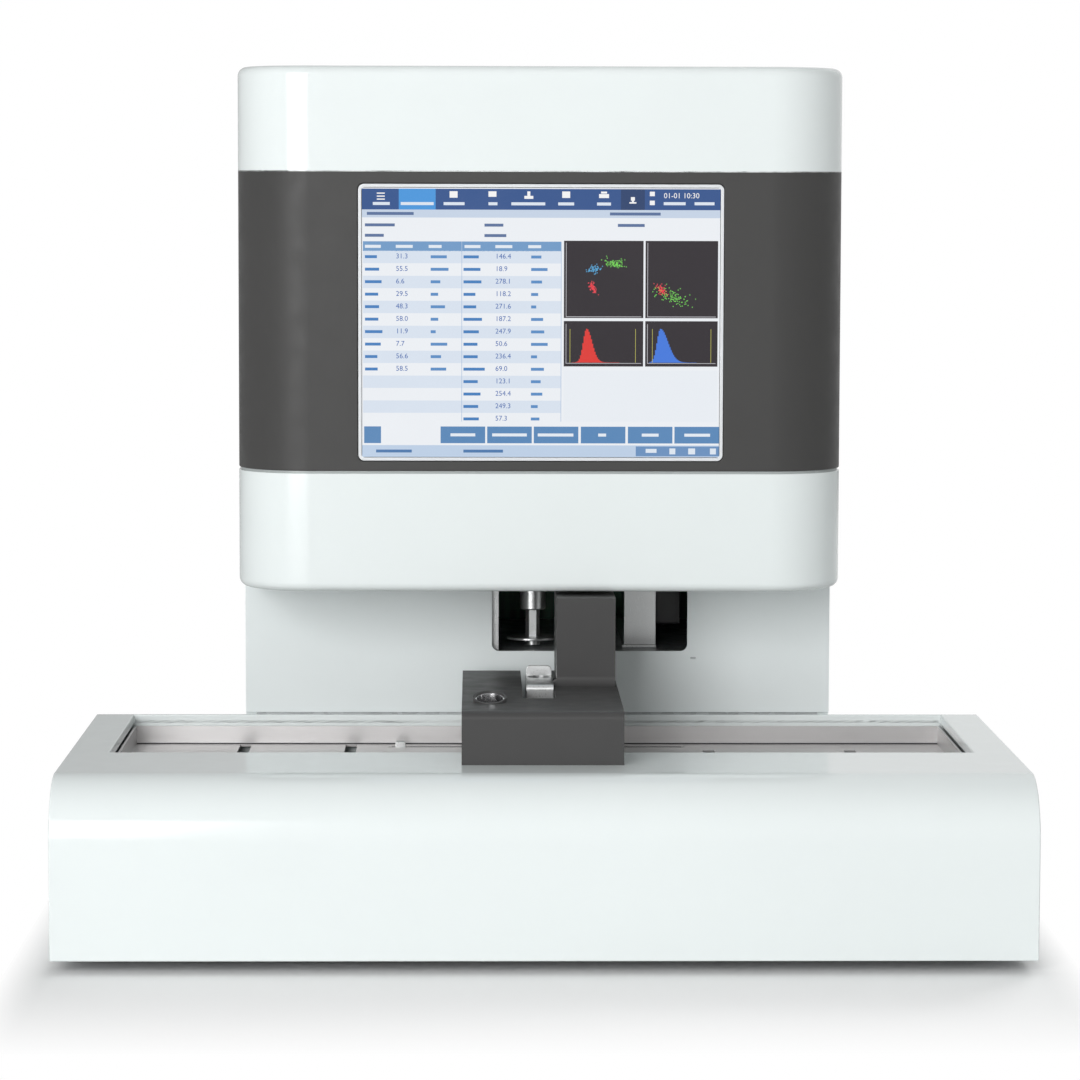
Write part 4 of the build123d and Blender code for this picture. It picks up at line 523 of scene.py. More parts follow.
def mix_finishes():
    """Makes every finish once, named after the record's material slots."""
    casing = bpy.context.scene.analyzer_casing
    loader = bpy.context.scene.analyzer_loader
    along_x = (0.02, 1.0, 1.0)
    along_z = (1.0, 1.0, 0.03)
    finishes.update(
        {
            "white_shell": moulded("white_shell", casing.white, 0.13, 700.0, 0.02, 0.006),
            "white_panel": moulded("white_panel", casing.panel_white, 0.34, 1500.0, 0.06, 0.008),
            "dark_band": moulded("dark_band", casing.band, 0.42, 1900.0, 0.10, 0.02, 0.22),
            "dark_cover": moulded("dark_cover", casing.cover, 0.42, 1700.0, 0.16, 0.04, 0.3),
            "seam_trim": moulded("seam_trim", (0.42, 0.45, 0.45), 0.25, 900.0, 0.03),
            "screen_rim": moulded("screen_rim", (0.78, 0.80, 0.82), 0.22, 900.0, 0.03),
            "screen_glass": moulded("screen_glass", (0.010, 0.011, 0.013), 0.10, 300.0, 0.01),
            "display_case": moulded("display_case", (0.012, 0.012, 0.013), 0.45, 1200.0, 0.12, 0.08),
            "stainless": metal(
                "stainless", loader.steel, 0.42, along_x, 0.0, 2400.0, 0.02, 0.05
            ),
            "polished_steel": metal("polished_steel", (0.80, 0.80, 0.81), 0.16, along_z, 0.03),
            "satin_aluminium": metal(
                "satin_aluminium", (0.62, 0.63, 0.63), 0.34, (1.0, 1.0, 1.0), 0.06, 1400.0
            ),
            "galvanised": spangled_zinc("galvanised", (0.48, 0.50, 0.51)),
            "black_plastic": moulded("black_plastic", (0.014, 0.014, 0.015), 0.38, 1300.0, 0.14, 0.08),
            "rubber": moulded("rubber", (0.018, 0.018, 0.018), 0.75, 1100.0, 0.3, 0.12),
            "circuit_board": board_finish("circuit_board"),
            "port_plastic": moulded("port_plastic", (0.70, 0.71, 0.67), 0.32, 900.0, 0.08, 0.02),
            "clear_glass": clear_finish("clear_glass", (0.92, 0.97, 0.98)),
            "cup_plastic": moulded("cup_plastic", (0.74, 0.73, 0.68), 0.30, 800.0, 0.05, 0.02),
        }
    )


# Loader, tray and sampling parts
collar_slope = radians(15.0)
collar_wall = 1.2 * mm


class ANALYZER_OT_loader(bpy.types.Operator):
    """Models the loader's moulded housing with its round front edge and the recess for racks"""

    bl_idname = "analyzer.build_loader"
    bl_label = "Loader housing"

    def execute(self, context):
        sizes = context.scene.analyzer_loader
        casing = context.scene.analyzer_casing
        low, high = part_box("loader_housing")
        front, bottom, top = low[1], low[2], high[2]
        shell = block("loader_shell", low, high)
        bevel(shell, both(along(1, front), along(2, top)), sizes.front_radius, 28)
        for x in (-sizes.recess_half, sizes.recess_half):
            slice_at(shell, (x, 0, 0), (1, 0, 0))
        for y in (sizes.recess_front, sizes.recess_back):
            slice_at(shell, (0, y, 0), (0, 1, 0))

        def in_recess(c):
            return abs(c.x) < sizes.recess_half and sizes.recess_front < c.y < sizes.recess_back

        pull(shell, lambda c, n: in_recess(c) and near(c.z, top), (0, 0, -sizes.lip))
        drop(shell, lambda c, n: in_recess(c) and near(c.z, top - sizes.lip))
        drop(shell, lambda c, n: near(c.z, bottom))
        thicken(shell, casing.wall)
        soften(shell, casing.softening, 3, 50.0)
        finish_piece(shell, finishes["white_shell"], "loader_housing", angle=30.0)
        return {"FINISHED"}


class ANALYZER_OT_tray(bpy.types.Operator):
    """Refines the stainless tray and the parts that move racks over it, and lays thin black strips along its
    back seam and in its lane slot as painted shade
    """

    bl_idname = "analyzer.build_tray"
    bl_label = "Tray and pushers"

    def execute(self, context):
        refined("rack_tray", 0.35 * mm, finishes["stainless"])
        low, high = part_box("rack_tray")
        sheet = 1.5 * mm
        floor, back = low[2] + sheet, high[1] - sheet
        # Thin black blocks as painted shade: a painted shadow in the crease where the tray's floor meets its
        # back wall, and painted shade on the walls of the lane slot in its floor
        painted_shade_lines = {
            "tray_seam_painted_shadow": (
                (low[0] + sheet, back - 0.5 * mm, floor),
                (high[0] - sheet, back, floor + 0.7 * mm),
            ),
            "slot_painted_shade": (
                (-101.0 * mm, -23.8 * mm, low[2] + 0.1 * mm),
                (99.0 * mm, -23.45 * mm, floor - 0.05 * mm),
            ),
        }
        for name, corners in painted_shade_lines.items():
            line = block(name, *corners)
            line.data.materials.append(finishes["black_plastic"])
            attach(line, home["rack_tray"])
        for node in ("left_pusher", "right_pusher", "lane_shuttle"):
            refined(node, 0.4 * mm, finishes["satin_aluminium"])
        return {"FINISHED"}


class ANALYZER_OT_sampling_cover(bpy.types.Operator):
    """Models the dark cover with its notch, its hood and the collar round the sample well"""

    bl_idname = "analyzer.build_sampling_cover"
    bl_label = "Sampling cover"

    def execute(self, context):
        sizes = context.scene.analyzer_loader
        low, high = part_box("sampling_cover")
        left, right, front, back = low[0], high[0], low[1], high[1]
        bottom, hood_top, top = low[2], high[2], sizes.cover_top
        loader_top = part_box("loader_housing")[1][2]
        skirt_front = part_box("rack_tray")[0][1] + 1.8 * mm
        cover = block("cover_shell", (left, skirt_front, bottom), (right, back, top))
        slice_at(cover, (0, 0, loader_top), (0, 0, 1))
        pull(cover, lambda c, n: near(c.y, skirt_front) and c.z > loader_top, (0, front - skirt_front, 0))
        slice_at(cover, (sizes.hood_left, 0, 0), (1, 0, 0))
        slice_at(cover, (sizes.hood_right, 0, 0), (1, 0, 0))
        slice_at(cover, (0, sizes.hood_front, 0), (0, 1, 0))

        def under_hood(c):
            return sizes.hood_left < c.x < sizes.hood_right and c.y > sizes.hood_front

        def hood_foot(a, b):
            return all(between(end.x, sizes.hood_left, sizes.hood_right) for end in (a, b))

        pull(cover, lambda c, n: under_hood(c) and near(c.z, top), (0, 0, hood_top - top))
        bevel(cover, both(both(along(1, sizes.hood_front), along(2, top)), hood_foot), 6.5 * mm, 10)
        bevel(cover, both(along(1, front), along(2, top)), 5 * mm, 8)
        notch = block(
            "notch",
            (sizes.notch_left, sizes.notch_front, bottom - mm),
            (sizes.notch_right, back + mm, top + mm),
        )
        combine(cover, notch, "DIFFERENCE")
        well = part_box("well_liner")
        centre = ((well[0][0] + well[1][0]) / 2, (well[0][1] + well[1][1]) / 2)
        radius = (well[1][0] - well[0][0]) / 2
        well_floor = loader_top + mm
        pit = round_bar("pit", (*centre, well_floor), (*centre, top + mm), radius + 0.02 * mm, 96)
        combine(cover, pit, "DIFFERENCE")

        def in_well(c):
            return (c.x - centre[0]) ** 2 + (c.y - centre[1]) ** 2 < radius**2

        drop(cover, lambda c, n: near(c.z, bottom) or (near(c.z, well_floor) and in_well(c)))
        drop(cover, lambda c, n: near(c.y, back) and under_hood(c))
        thicken(cover, 2.5 * mm, even=False)

        collar_radius = radius + collar_wall
        collar = round_bar("collar", (*centre, top - 2 * mm), (*centre, top + 12 * mm), collar_radius, 96)
        lowest = centre[1] - collar_radius
        choose(collar, "FACE", lambda c, n: True)
        bpy.ops.mesh.bisect(
            plane_co=(0, lowest, top + 0.4 * mm), plane_no=(0, -sin(collar_slope), cos(collar_slope)),
            use_fill=True, clear_outer=True,
        )
        let_go()
        hole = round_bar("hole", (*centre, well_floor), (*centre, top + 20 * mm), radius + 0.02 * mm, 96)
        combine(collar, hole, "DIFFERENCE")
        take(cover)
        collar.select_set(True)
        bpy.ops.object.join()
        soften(cover, 0.6 * mm, 3, 40.0)
        finish_piece(cover, finishes["dark_cover"], "sampling_cover", angle=40.0)
        return {"FINISHED"}


class ANALYZER_OT_sample_seats(bpy.types.Operator):
    """Models the bright liner of the sample well, the sliding tube holder and its rail"""

    bl_idname = "analyzer.build_sample_seats"
    bl_label = "Sample well and tube holder"

    def execute(self, context):
        low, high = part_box("well_liner")
        radius = (high[0] - low[0]) / 2
        centre = Vector(((low[0] + high[0]) / 2, (low[1] + high[1]) / 2, 0))
        sunk = 0.8 * mm
        rise = Vector((0, -sin(collar_slope), cos(collar_slope)))
        height = context.scene.analyzer_loader.cover_top + (radius + collar_wall) * tan(collar_slope) - sunk
        rim = centre + Vector((0, 0, height))
        trim = round_bar("trim", rim, rim + rise * 30 * mm, 40 * mm)
        refined("well_liner", 0.2 * mm, finishes["polished_steel"], 3, trim=trim)
        refined("tube_holder", 0.5 * mm, finishes["satin_aluminium"], 3)
        refined("holder_rail", 0.0, finishes["polished_steel"])
        return {"FINISHED"}


# Head and screen
def head_skin(name, node, back_radius, open_top, open_bottom, open_back):
    """Block of the head's plan with round corners, opened where it isn't seen."""
    casing = bpy.context.scene.analyzer_casing
    low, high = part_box(node)
    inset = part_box("top_cap")[1][0] - high[0]
    skin = block(name, low, high)
    bevel(skin, both(upright, along(1, low[1])), casing.corner_radius - inset, 32)
    if back_radius:
        bevel(skin, both(upright, along(1, high[1])), back_radius - inset, 16)
    if open_top:
        drop(skin, lambda c, n: n.z > 0.9)
    if open_bottom:
        drop(skin, lambda c, n: n.z < -0.9)
    if open_back:
        drop(skin, lambda c, n: n.y > 0.9)
    return skin


class ANALYZER_OT_head(bpy.types.Operator):
    """Models the white cap, the dark band, the white chin and the strips between them"""

    bl_idname = "analyzer.build_head"
    bl_label = "Head casings"

    def execute(self, context):
        casing = context.scene.analyzer_casing
        cap_low, cap_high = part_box("top_cap")
        cap = head_skin("cap_shell", "top_cap", casing.back_radius, False, True, False)
        bevel(cap, along(2, cap_high[2]), casing.edge_radius, 12)
        thicken(cap, casing.wall)
        soften(cap, 0.8 * mm, 3, 60.0)
        finish_piece(cap, finishes["white_shell"], "top_cap", angle=30.0)

        chin_low, chin_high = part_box("chin_cover")
        chin = head_skin("chin_shell", "chin_cover", 0, True, False, True)
        at_wall = along(1, chin_high[1])
        bevel(chin, both(along(2, chin_low[2]), lambda a, b: not at_wall(a, b)), casing.edge_radius, 12)
        thicken(chin, casing.wall)
        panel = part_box("front_panel")
        inset = 1.2 * mm
        above_floor = chin_low[2] + casing.wall + mm
        gap = block(
            "gap",
            (panel[0][0] + inset, panel[0][1] - 0.3 * mm, chin_low[2] - mm),
            (panel[1][0] - inset, chin_high[1] + mm, above_floor),
        )
        combine(chin, gap, "DIFFERENCE")
        window = block("window", (-31.8 * mm, -46 * mm, chin_low[2] - mm), (103.7 * mm, 0, above_floor))
        combine(chin, window, "DIFFERENCE")
        soften(chin, 0.8 * mm, 3, 60.0)
        finish_piece(chin, finishes["white_shell"], "chin_cover", angle=30.0)

        band_low, band_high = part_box("screen_bezel")
        band = head_skin("band_shell", "screen_bezel", 0, True, True, True)
        thicken(band, casing.wall)
        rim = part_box("screen_rim")
        reach = 0.3 * mm
        opening = block(
            "opening",
            (rim[0][0] - reach, band_low[1] - mm, rim[0][2] - reach),
            (rim[1][0] + reach, band_low[1] + 5 * mm, rim[1][2] + reach),
        )
        bevel(opening, lambda a, b: near(a.x, b.x) and near(a.z, b.z), 4 * mm, 8)
        combine(band, opening, "DIFFERENCE")
        soften(band, 0.8 * mm, 3, 60.0)
        finish_piece(band, finishes["dark_band"], "screen_bezel", angle=30.0)

        for node in ("upper_seam_trim", "lower_seam_trim"):
            refined(node, 0.0, finishes["seam_trim"])
        return {"FINISHED"}


ink = (0.10, 0.17, 0.35)
figure_ink = (0.02, 0.12, 0.45)
white = (1.0, 1.0, 1.0)
row_pitch = 12.6


def screen_grid(layer):
    """The pane's left, top, unit across, unit down and the depth of a layer on it."""
    low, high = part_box("touch_panel")
    across = (high[0] - low[0]) / 360.0
    down = (high[2] - low[2]) / 272.0
    return low[0], high[2], across, down, low[1] - (0.02 + 0.02 * layer) * mm


def tiles(name, tint, spots, layer):
    """Flat tiles of one tint on the screen. Spots are left, top, right, bottom in screen units."""
    pane_left, pane_top, unit_x, unit_z, depth = screen_grid(layer)
    let_go()
    bpy.ops.mesh.primitive_plane_add(size=1, location=(0, 0, 0))
    sheet = bpy.context.object
    bpy.ops.object.mode_set(mode="EDIT")
    bpy.ops.mesh.delete(type="VERT")
    for left, top, right, bottom in spots:
        centre = (pane_left + (left + right) / 2 * unit_x, depth, pane_top - (top + bottom) / 2 * unit_z)
        bpy.ops.mesh.primitive_plane_add(size=1, location=centre, rotation=(pi / 2, 0, 0))
        size = ((right - left) * unit_x, 1, (bottom - top) * unit_z)
        bpy.ops.transform.resize(value=size, center_override=centre)
    let_go()
    return dye(settle(sheet, name), tint)


def dye(piece, tint):
    """Gives the whole piece one tint, which the screen's finish reads."""
    layer = piece.data.color_attributes.new(name="tint", type="FLOAT_COLOR", domain="CORNER")
    for corner in layer.data:
        corner.color = (*tint, 1.0)
    return piece


def figures(name, tint, lines, left, top, size, pitch, layer):
    """Column of figures on the screen, made into flat mesh."""
    pane_left, pane_top, unit_x, unit_z, depth = screen_grid(layer)
    let_go()
    bpy.ops.object.text_add(location=(0, 0, 0))
    column = bpy.context.object
    column.data.body = "\n".join(lines)
    column.data.size = size * unit_z
    column.data.space_line = pitch / size
    column.data.resolution_u = 3
    bpy.ops.object.convert(target="MESH")
    column = bpy.context.object
    column.rotation_euler = (pi / 2, 0, 0)
    column.location = (pane_left + left * unit_x, depth, pane_top - top * unit_z)
    return dye(settle(column, name), tint)


def cloud(chance, centre, size, slant, count):
    """Small square dots scattered round a centre along a slant."""
    spots = []
    for _ in range(count):
        along, across = chance.gauss(0, size), chance.gauss(0, size * 0.45)
        x = centre[0] + along * cos(slant) - across * sin(slant)
        y = centre[1] + along * sin(slant) + across * cos(slant)
        spots.append((x - 0.45, y - 0.45, x + 0.45, y + 0.45))
    return spots


def hill(left, bottom, heights, step):
    """Bars side by side that draw a filled curve."""
    return [
        (left + i * step, bottom - height, left + (i + 1) * step + 0.05, bottom)
        for i, height in enumerate(heights)
    ]


def curve_heights(peak, height, count, spread_left, spread_right):
    """Heights of a lopsided bell curve."""
    heights = []
    for i in range(count):
        width = spread_left if i < peak else spread_right
        heights.append(height * 2.718 ** (-(((i - peak) / width) ** 2)) + 0.2)
    return heights


def screen_layout(bar, chance):
    """Every group of tiles on the screen: name, tint, spots and layer."""
    rows = [68 + row_pitch * i for i in range(14)]
    groups = [
        ("page", (0.93, 0.96, 1.0), [(0, 0, 360, 272)], 0),
        ("top_bar", bar, [(0, 1, 360, 22)], 1),
        ("tab", (0.06, 0.33, 0.78), [(37, 1, 74, 22)], 2),
        ("alert_field", tuple(part * 0.55 for part in bar), [(260, 1, 284, 22)], 2),
        ("path_strip", (0.62, 0.72, 0.87), [(0, 22, 360, 30)], 1),
        ("table_head", (0.17, 0.35, 0.62), [(1, 54, 200, 64)], 1),
        ("stripes", (0.76, 0.84, 0.95), [(1, rows[i] - 4.5, 200, rows[i] + 8) for i in range(0, 14, 2)], 1),
        ("column_lines", (0.45, 0.58, 0.78), [(100, 54, 100.6, 236), (200, 54, 200.6, 236)], 2),
        ("plot_fields", (0.016, 0.010, 0.014),
         [(203, 53, 283, 131), (285, 53, 358, 131), (203, 134, 283, 180), (285, 134, 358, 180)], 1),
        ("plot_frames", (0.62, 0.62, 0.66),
         [(205, 129.4, 281, 130), (205, 55, 205.5, 130), (287, 129.4, 356, 130), (287, 55, 287.5, 130),
          (205, 176.5, 281, 177), (205, 137, 205.5, 177), (287, 176.5, 356, 177), (287, 137, 287.5, 177)], 2),
        ("right_field", (0.90, 0.94, 0.99), [(203, 184, 358, 236)], 1),
        ("buttons", (0.10, 0.26, 0.52),
         [(2, 241, 19, 258)] + [(x, 241, x + 45, 258) for x in (79, 126, 173, 220.5, 268, 315)], 1),
        ("status_bar", (0.56, 0.69, 0.87), [(0, 260, 360, 272)], 1),
        ("status_field", (0.15, 0.30, 0.56), [(276, 261, 360, 271)], 2),
        ("green_dots", (0.20, 0.75, 0.10), cloud(chance, (254, 76), 5.0, 0.2, 90)
         + cloud(chance, (312, 109), 8.5, 0.3, 110), 3),
        ("blue_dots", (0.10, 0.42, 0.75), cloud(chance, (233, 82), 4.0, -0.3, 70), 3),
        ("red_dots", (0.90, 0.06, 0.08), cloud(chance, (232, 100), 3.2, 1.2, 90)
         + cloud(chance, (301, 102), 3.6, 1.0, 80), 3),
        ("red_hill", (0.80, 0.03, 0.02), hill(211, 176, curve_heights(12, 34, 40, 4.0, 6.5), 1.2), 2),
        ("blue_hill", (0.05, 0.20, 0.78), hill(289, 176, curve_heights(9, 34, 40, 4.0, 9.0), 1.2), 2),
        ("limit_lines", (0.55, 0.52, 0.10), [(x, 142, x + 0.5, 176) for x in (209, 275, 292, 351)], 3),
        ("bar_icons", white,
         [(15, 5 + 3 * i, 23, 6.2 + 3 * i) for i in range(3)] + [(88, 3.5, 96, 10)] + [(127, 3.5, 135, 9)]
         + [(166, 3.5, 169, 8), (163, 8, 172, 11)] + [(201, 3.5, 209, 10)]
         + [(238, 6, 248, 10), (240, 3.5, 246, 5.5)]
         + [(271, 12, 273, 15), (270, 9, 274, 12.5), (268.5, 14, 275.5, 15.5)]
         + [(289, 3.5, 294, 8), (289, 12.5, 294, 17)], 3),
        ("bar_words", (0.80, 0.87, 0.97),
         [(11, 14.5, 28, 17.5), (39, 14.5, 72, 17.5), (82, 14.5, 103, 17.5), (127, 14.5, 136, 17.5),
          (150, 14.5, 184, 17.5), (197, 14.5, 213, 17.5), (236, 14.5, 250, 17.5), (303, 14, 325, 17),
          (334, 14, 354, 17)], 3),
        ("head_words", (0.85, 0.91, 0.98),
         [(x, 57.6, x + w, 60.6)
          for x, w in ((3, 16), (34, 17), (67, 13), (103, 16), (134, 17), (167, 13))], 3),
        ("info_words", ink,
         [(3, 36, 33, 39), (3, 46.5, 22, 49.5), (123, 36, 142, 39), (123, 46.5, 145, 49.5),
          (257, 36, 284, 39), (5, 24.5, 52, 27.5), (249, 24.5, 300, 27.5)], 2),
        ("item_words", (0.05, 0.22, 0.55),
         [(3, y, 3 + chance.uniform(12, 19), y + 3) for y in rows[:10]]
         + [(102, y, 102 + chance.uniform(11, 22), y + 3) for y in rows[:14]], 3),
        ("unit_words", (0.10, 0.28, 0.60),
         [(69, y, 69 + chance.uniform(5, 18), y + 3) for y in rows[:10]]
         + [(170, y, 170 + chance.uniform(5, 18), y + 3) for y in rows[:14]], 3),
        ("button_words", (0.86, 0.92, 0.99),
         [(x, 248, x + w, 251)
          for x, w in ((89, 25), (131, 35), (177, 36), (238, 8), (282, 17), (325, 26))], 3),
        ("status_words", (0.07, 0.20, 0.45), [(14, 264.5, 50, 267.5), (102, 264.5, 142, 267.5)], 3),
        ("status_icons", (0.80, 0.88, 0.97),
         [(286, 263.5, 297, 267.5), (310, 263, 316, 269), (329, 263, 336, 269), (351, 263, 357, 269)], 3),
    ]
    return groups, rows


class ANALYZER_OT_screen(bpy.types.Operator):
    """Models the screen's rim and pane and lays out the measuring program's page on it"""

    bl_idname = "analyzer.build_screen"
    bl_label = "Touch screen"

    def execute(self, context):
        sizes = context.scene.analyzer_screen
        refined("screen_rim", 0.0, finishes["screen_rim"])
        refined("touch_panel", 0.2 * mm, finishes["screen_glass"])
        chance = random.Random(sizes.seed)
        groups, rows = screen_layout(tuple(sizes.bar), chance)
        sheets = [tiles(*group) for group in groups]
        left_values = [f"{chance.uniform(0.1, 60):.1f}" for _ in range(10)]
        right_values = [f"{chance.uniform(3, 300):.1f}" for _ in range(14)]
        first_line = rows[0] + 3.2
        for name, values, left in (("left_figures", left_values, 34), ("right_figures", right_values, 134)):
            sheets.append(figures(name, figure_ink, values, left, first_line, 7.2, row_pitch, 3))
        sheets.append(figures("date_figures", white, ["01-01 10:30"], 303, 10, 7.5, 8, 3))
        let_go()
        for sheet in sheets:
            sheet.select_set(True)
        picture = sheets[0]
        context.view_layer.objects.active = picture
        bpy.ops.object.join()
        picture.name = "screen_picture"
        picture.data.materials.clear()
        picture.data.materials.append(lit_picture("screen_picture", sizes.glow))
        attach(picture, home["touch_panel"])
        let_go()
        return {"FINISHED"}


# Body, mechanism and back
class ANALYZER_OT_body_panels(bpy.types.Operator):
    """Refines the painted panels, the service door and its latch"""

    bl_idname = "analyzer.build_body_panels"
    bl_label = "Body panels"

    def execute(self, context):
        for node in ("front_panel", "left_side_panel", "right_door", "rear_panel"):
            refined(node, 0.35 * mm, finishes["white_panel"])
        refined("door_latch", 0.4 * mm, finishes["black_plastic"])
        return {"FINISHED"}


class ANALYZER_OT_mechanism(bpy.types.Operator):
    """Refines the sampling mechanism that shows through the window"""

    bl_idname = "analyzer.build_mechanism"
    bl_label = "Sampling mechanism"

    def execute(self, context):
        for node in ("sampling_plate", "spinner_bracket", "spinner_motor", "probe_carriage", "syringe_frame"):
            refined(node, 0.4 * mm, finishes["satin_aluminium"])
        for node in ("spinner_roller", "syringe_plungers"):
            refined(node, 0.25 * mm, finishes["satin_aluminium"])
        for node in ("carriage_rail", "sample_probe"):
            refined(node, 0.1 * mm, finishes["polished_steel"])
        refined("code_reader", 0.6 * mm, finishes["display_case"])
        refined("reaction_cup", 0.25 * mm, finishes["cup_plastic"])
        return {"FINISHED"}


class ANALYZER_OT_rear_fittings(bpy.types.Operator):
    """Refines the inlet, switch, fan, ports and sockets at the back"""

    bl_idname = "analyzer.build_rear_fittings"
    bl_label = "Rear fittings"

    def execute(self, context):
        for node in ("power_inlet", "switch_frame", "power_rocker", "fan_housing", "data_ports"):
            refined(node, 0.3 * mm, finishes["black_plastic"])
        refined("fan_rotor", 0.15 * mm, finishes["black_plastic"])
        refined("fluid_ports", 0.25 * mm, finishes["port_plastic"])
        refined("rubber_feet", 0.0, finishes["rubber"])
        return {"FINISHED"}


class ANALYZER_OT_inner_parts(bpy.types.Operator):
    """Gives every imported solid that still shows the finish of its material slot"""

    bl_idname = "analyzer.finish_inner_parts"
    bl_label = "Inner parts"

    def execute(self, context):
        for node, piece in nodes.items():
            finish = finishes[finish_of[node]]
            if not piece.material_slots:
                raise RuntimeError(f"{node} has no material slot")
            for material_slot in piece.material_slots:
                material_slot.material = finish
        return {"FINISHED"}


# Studio
def mixed(tree_nodes, links, factor, first, second):
    """Mixes two shaders and gives the result."""
    mixer = tree_nodes.new("ShaderNodeMixShader")
    for source, target in zip((factor, first, second), mixer.inputs):
        links.new(source, target)
    return mixer.outputs["Shader"]


def studio_lamp(name, place, aim, size, power):
    """Large soft lamp that looks at a point."""
    lamp = bpy.data.lights.new(name, "AREA")
    lamp.shape = "RECTANGLE"
    lamp.size, lamp.size_y = size
    lamp.energy = power
    holder = bpy.data.objects.new(name, lamp)
    bpy.context.scene.collection.objects.link(holder)
    holder.location = place
    holder.rotation_euler = (Vector(aim) - Vector(place)).to_track_quat("-Z", "Y").to_euler()
    return holder


class ANALYZER_OT_stage(bpy.types.Operator):
    """Sets up the pale floor, the soft light and the camera"""

    bl_idname = "analyzer.build_stage"
    bl_label = "Studio"

    def execute(self, context):
        scene = context.scene
        sizes = scene.analyzer_stage
        scene.view_settings.view_transform = "Standard"

        let_go()
        bpy.ops.mesh.primitive_plane_add(size=12, location=(0, 0, 0))
        floor = settle(context.object, "studio_floor")
        material, tree_nodes, links, shader = blank_material("studio_floor")
        clouds = grain(tree_nodes, links, 1.5)
        tone(tree_nodes, links, shader, clouds, (0.80, 0.80, 0.80), 0.004)
        shader.inputs["Roughness"].default_value = 0.95
        shader.inputs["Specular IOR Level"].default_value = 0.1

        # Distance from the object's box, counted eightfold sideways, so the shadow fades soon beside it
        low, high = Vector(cad_box[0]), Vector(cad_box[1])
        middle, half = (low + high) / 2, (high - low) / 2
        spot = tree_nodes.new("ShaderNodeTexCoord").outputs["Object"]
        for operation, value in (
            ("SUBTRACT", middle), ("ABSOLUTE", None), ("SUBTRACT", half), ("MAXIMUM", (0, 0, 0)),
            ("MULTIPLY", (8, 1, 1)), ("LENGTH", None),
        ):
            step = tree_nodes.new("ShaderNodeVectorMath")
            step.operation = operation
            links.new(spot, step.inputs[0])
            if value is not None:
                step.inputs[1].default_value = value
            spot = step.outputs["Value" if operation == "LENGTH" else "Vector"]
        fade = spread(tree_nodes, links, spot, 0.0, 1.0, 5 * mm, sizes.shadow_reach)
        paper = tree_nodes.new("ShaderNodeEmission")
        path = tree_nodes.new("ShaderNodeLightPath")
        seen = tree_nodes.new("ShaderNodeMath")
        seen.operation = "MULTIPLY"
        lift = tree_nodes.new("ShaderNodeBsdfDiffuse")
        lift.inputs["Color"].default_value = (0.20, 0.20, 0.20, 1.0)
        lifted = tree_nodes.new("ShaderNodeAddShader")
        plain, camera_ray = shader.outputs["BSDF"], path.outputs["Is Camera Ray"]
        links.new(plain, lifted.inputs[0])
        links.new(lift.outputs["BSDF"], lifted.inputs[1])
        links.new(fade, seen.inputs[0])
        links.new(camera_ray, seen.inputs[1])
        near_floor = mixed(tree_nodes, links, camera_ray, plain, lifted.outputs["Shader"])
        whole_floor = mixed(tree_nodes, links, seen.outputs["Value"], near_floor, paper.outputs["Emission"])
        links.new(whole_floor, tree_nodes["Material Output"].inputs["Surface"])
        floor.data.materials.append(material)

        world = bpy.data.worlds.new("studio")
        world.use_nodes = True
        scene.world = world
        sky_nodes, sky_links = world.node_tree.nodes, world.node_tree.links
        light = sky_nodes["Background"]
        light.inputs["Color"].default_value = (0.98, 1.0, 1.0, 1.0)
        light.inputs["Strength"].default_value = sizes.sky
        white_backdrop = sky_nodes.new("ShaderNodeBackground")
        white_backdrop.inputs["Color"].default_value = (1.0, 1.0, 1.0, 1.0)
        place = sky_nodes.new("ShaderNodeTexCoord")
        split = sky_nodes.new("ShaderNodeSeparateXYZ")
        reflected = sky_nodes.new("ShaderNodeBackground")
        sky_links.new(place.outputs["Generated"], split.inputs["Vector"])
        wings = spread(sky_nodes, sky_links, split.outputs["X"], 0.60, 1.0, -0.12, 0.08)
        sky_links.new(wings, reflected.inputs["Strength"])
        path = sky_nodes.new("ShaderNodeLightPath")
        mirrored = sky_nodes.new("ShaderNodeMath")
        mirrored.operation = "MAXIMUM"
        sky_links.new(path.outputs["Is Glossy Ray"], mirrored.inputs[0])
        sky_links.new(path.outputs["Is Transmission Ray"], mirrored.inputs[1])
        even, mirror = light.outputs["Background"], reflected.outputs["Background"]
        unseen = mixed(sky_nodes, sky_links, mirrored.outputs["Value"], even, mirror)
        backdrop = white_backdrop.outputs["Background"]
        whole_sky = mixed(sky_nodes, sky_links, path.outputs["Is Camera Ray"], unseen, backdrop)
        sky_links.new(whole_sky, sky_nodes["World Output"].inputs["Surface"])

        studio_lamp("key_light", (-1.3, -3.1, 0.95), (0, -0.05, 0.25), (1.8, 1.8), sizes.key)
        fill = studio_lamp("fill_light", (1.6, 2.4, 2.0), (0, -0.05, 0.25), (1.4, 1.4), sizes.fill)
        fill.visible_glossy = False

        camera_data = bpy.data.cameras.new("camera")
        camera_data.lens = sizes.focal_length
        camera_data.sensor_width = 36.0
        camera = bpy.data.objects.new("camera", camera_data)
        scene.collection.objects.link(camera)
        yaw, pitch, roll = radians(-0.9467), radians(-5.0320), radians(-0.1425)
        place = Matrix.Translation((-0.0434, -2.7125, 0.4802))
        turn = Matrix.Rotation(yaw, 3, "Z") @ Matrix.Rotation(pitch, 3, "X") @ Matrix.Rotation(roll, 3, "Y")
        upright_lens = Matrix.Rotation(pi / 2, 4, "X")
        camera.matrix_world = place @ turn.to_4x4() @ upright_lens
        scene.camera = camera
        return {"FINISHED"}


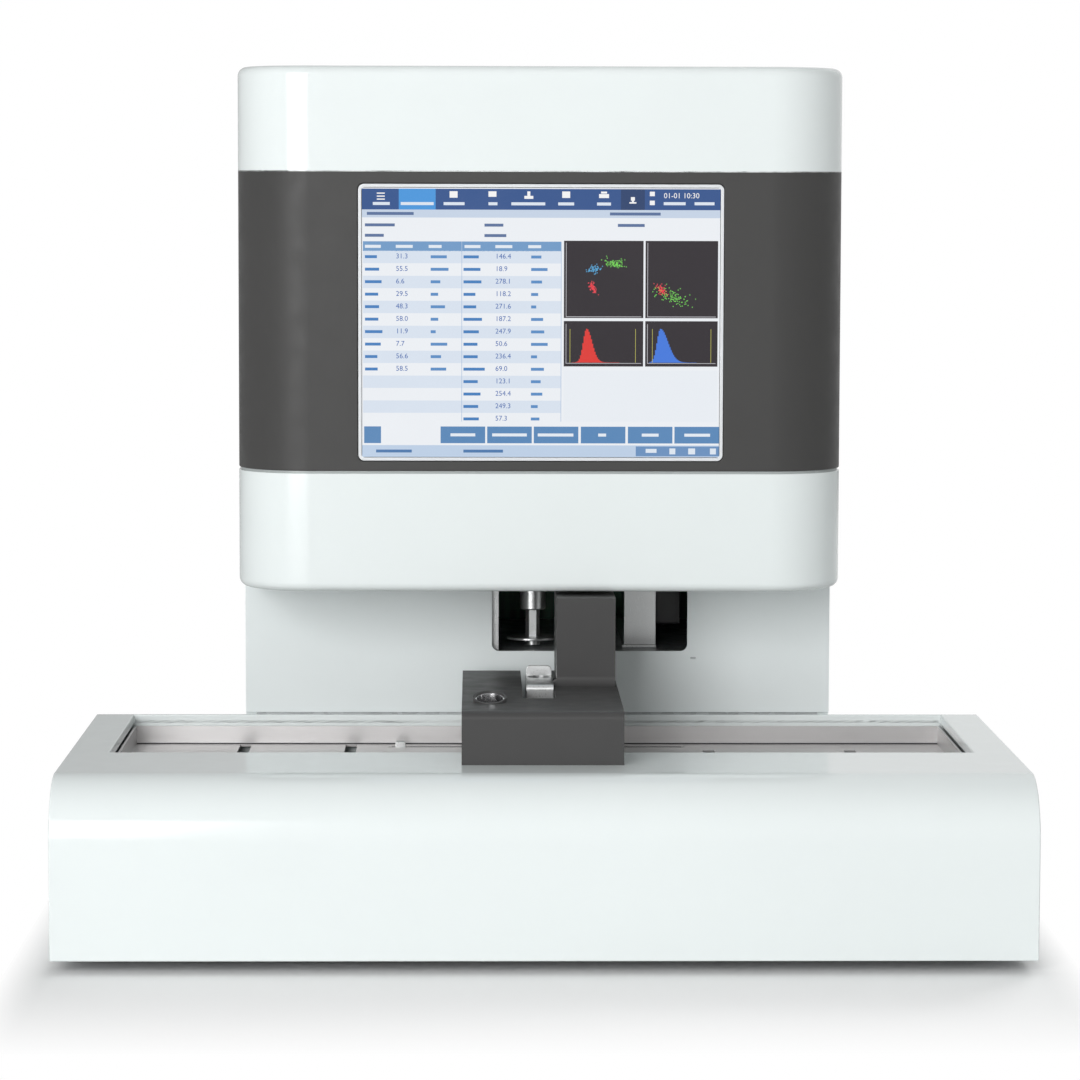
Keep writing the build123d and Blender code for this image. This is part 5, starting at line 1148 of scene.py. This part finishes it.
class ANALYZER_PT_panel(bpy.types.Panel):
    """Lists the analyzer's sizes, colours and building steps"""

    bl_idname = "ANALYZER_PT_panel"
    bl_label = "Analyzer"
    bl_space_type = "VIEW_3D"
    bl_region_type = "UI"
    bl_category = "Analyzer"

    def draw(self, context):
        layout = self.layout
        scene = context.scene
        casing, loader = scene.analyzer_casing, scene.analyzer_loader
        for group in (casing, loader, scene.analyzer_screen, scene.analyzer_stage):
            box = layout.box()
            for key in group.__annotations__:
                box.prop(group, key)
        for operator in operators:
            layout.operator(operator.bl_idname)


settings = (CasingSettings, LoaderSettings, ScreenSettings, StageSettings)
operators = (
    ANALYZER_OT_stage,
    ANALYZER_OT_loader,
    ANALYZER_OT_tray,
    ANALYZER_OT_sampling_cover,
    ANALYZER_OT_sample_seats,
    ANALYZER_OT_head,
    ANALYZER_OT_screen,
    ANALYZER_OT_body_panels,
    ANALYZER_OT_mechanism,
    ANALYZER_OT_rear_fittings,
    ANALYZER_OT_inner_parts,
)


def register():
    for kind in settings + operators + (ANALYZER_PT_panel,):
        bpy.utils.register_class(kind)
    bpy.types.Scene.analyzer_casing = bpy.props.PointerProperty(type=CasingSettings)
    bpy.types.Scene.analyzer_loader = bpy.props.PointerProperty(type=LoaderSettings)
    bpy.types.Scene.analyzer_screen = bpy.props.PointerProperty(type=ScreenSettings)
    bpy.types.Scene.analyzer_stage = bpy.props.PointerProperty(type=StageSettings)


def unregister():
    del bpy.types.Scene.analyzer_stage
    del bpy.types.Scene.analyzer_screen
    del bpy.types.Scene.analyzer_loader
    del bpy.types.Scene.analyzer_casing
    for kind in reversed(settings + operators + (ANALYZER_PT_panel,)):
        bpy.utils.unregister_class(kind)


def main():
    """Builds everything in order."""
    register()
    mix_finishes()
    bpy.ops.analyzer.build_stage()
    bpy.ops.analyzer.build_loader()
    bpy.ops.analyzer.build_tray()
    bpy.ops.analyzer.build_sampling_cover()
    bpy.ops.analyzer.build_sample_seats()
    bpy.ops.analyzer.build_head()
    bpy.ops.analyzer.build_screen()
    bpy.ops.analyzer.build_body_panels()
    bpy.ops.analyzer.build_mechanism()
    bpy.ops.analyzer.build_rear_fittings()
    bpy.ops.analyzer.finish_inner_parts()


if __name__ == "__main__":
    main()
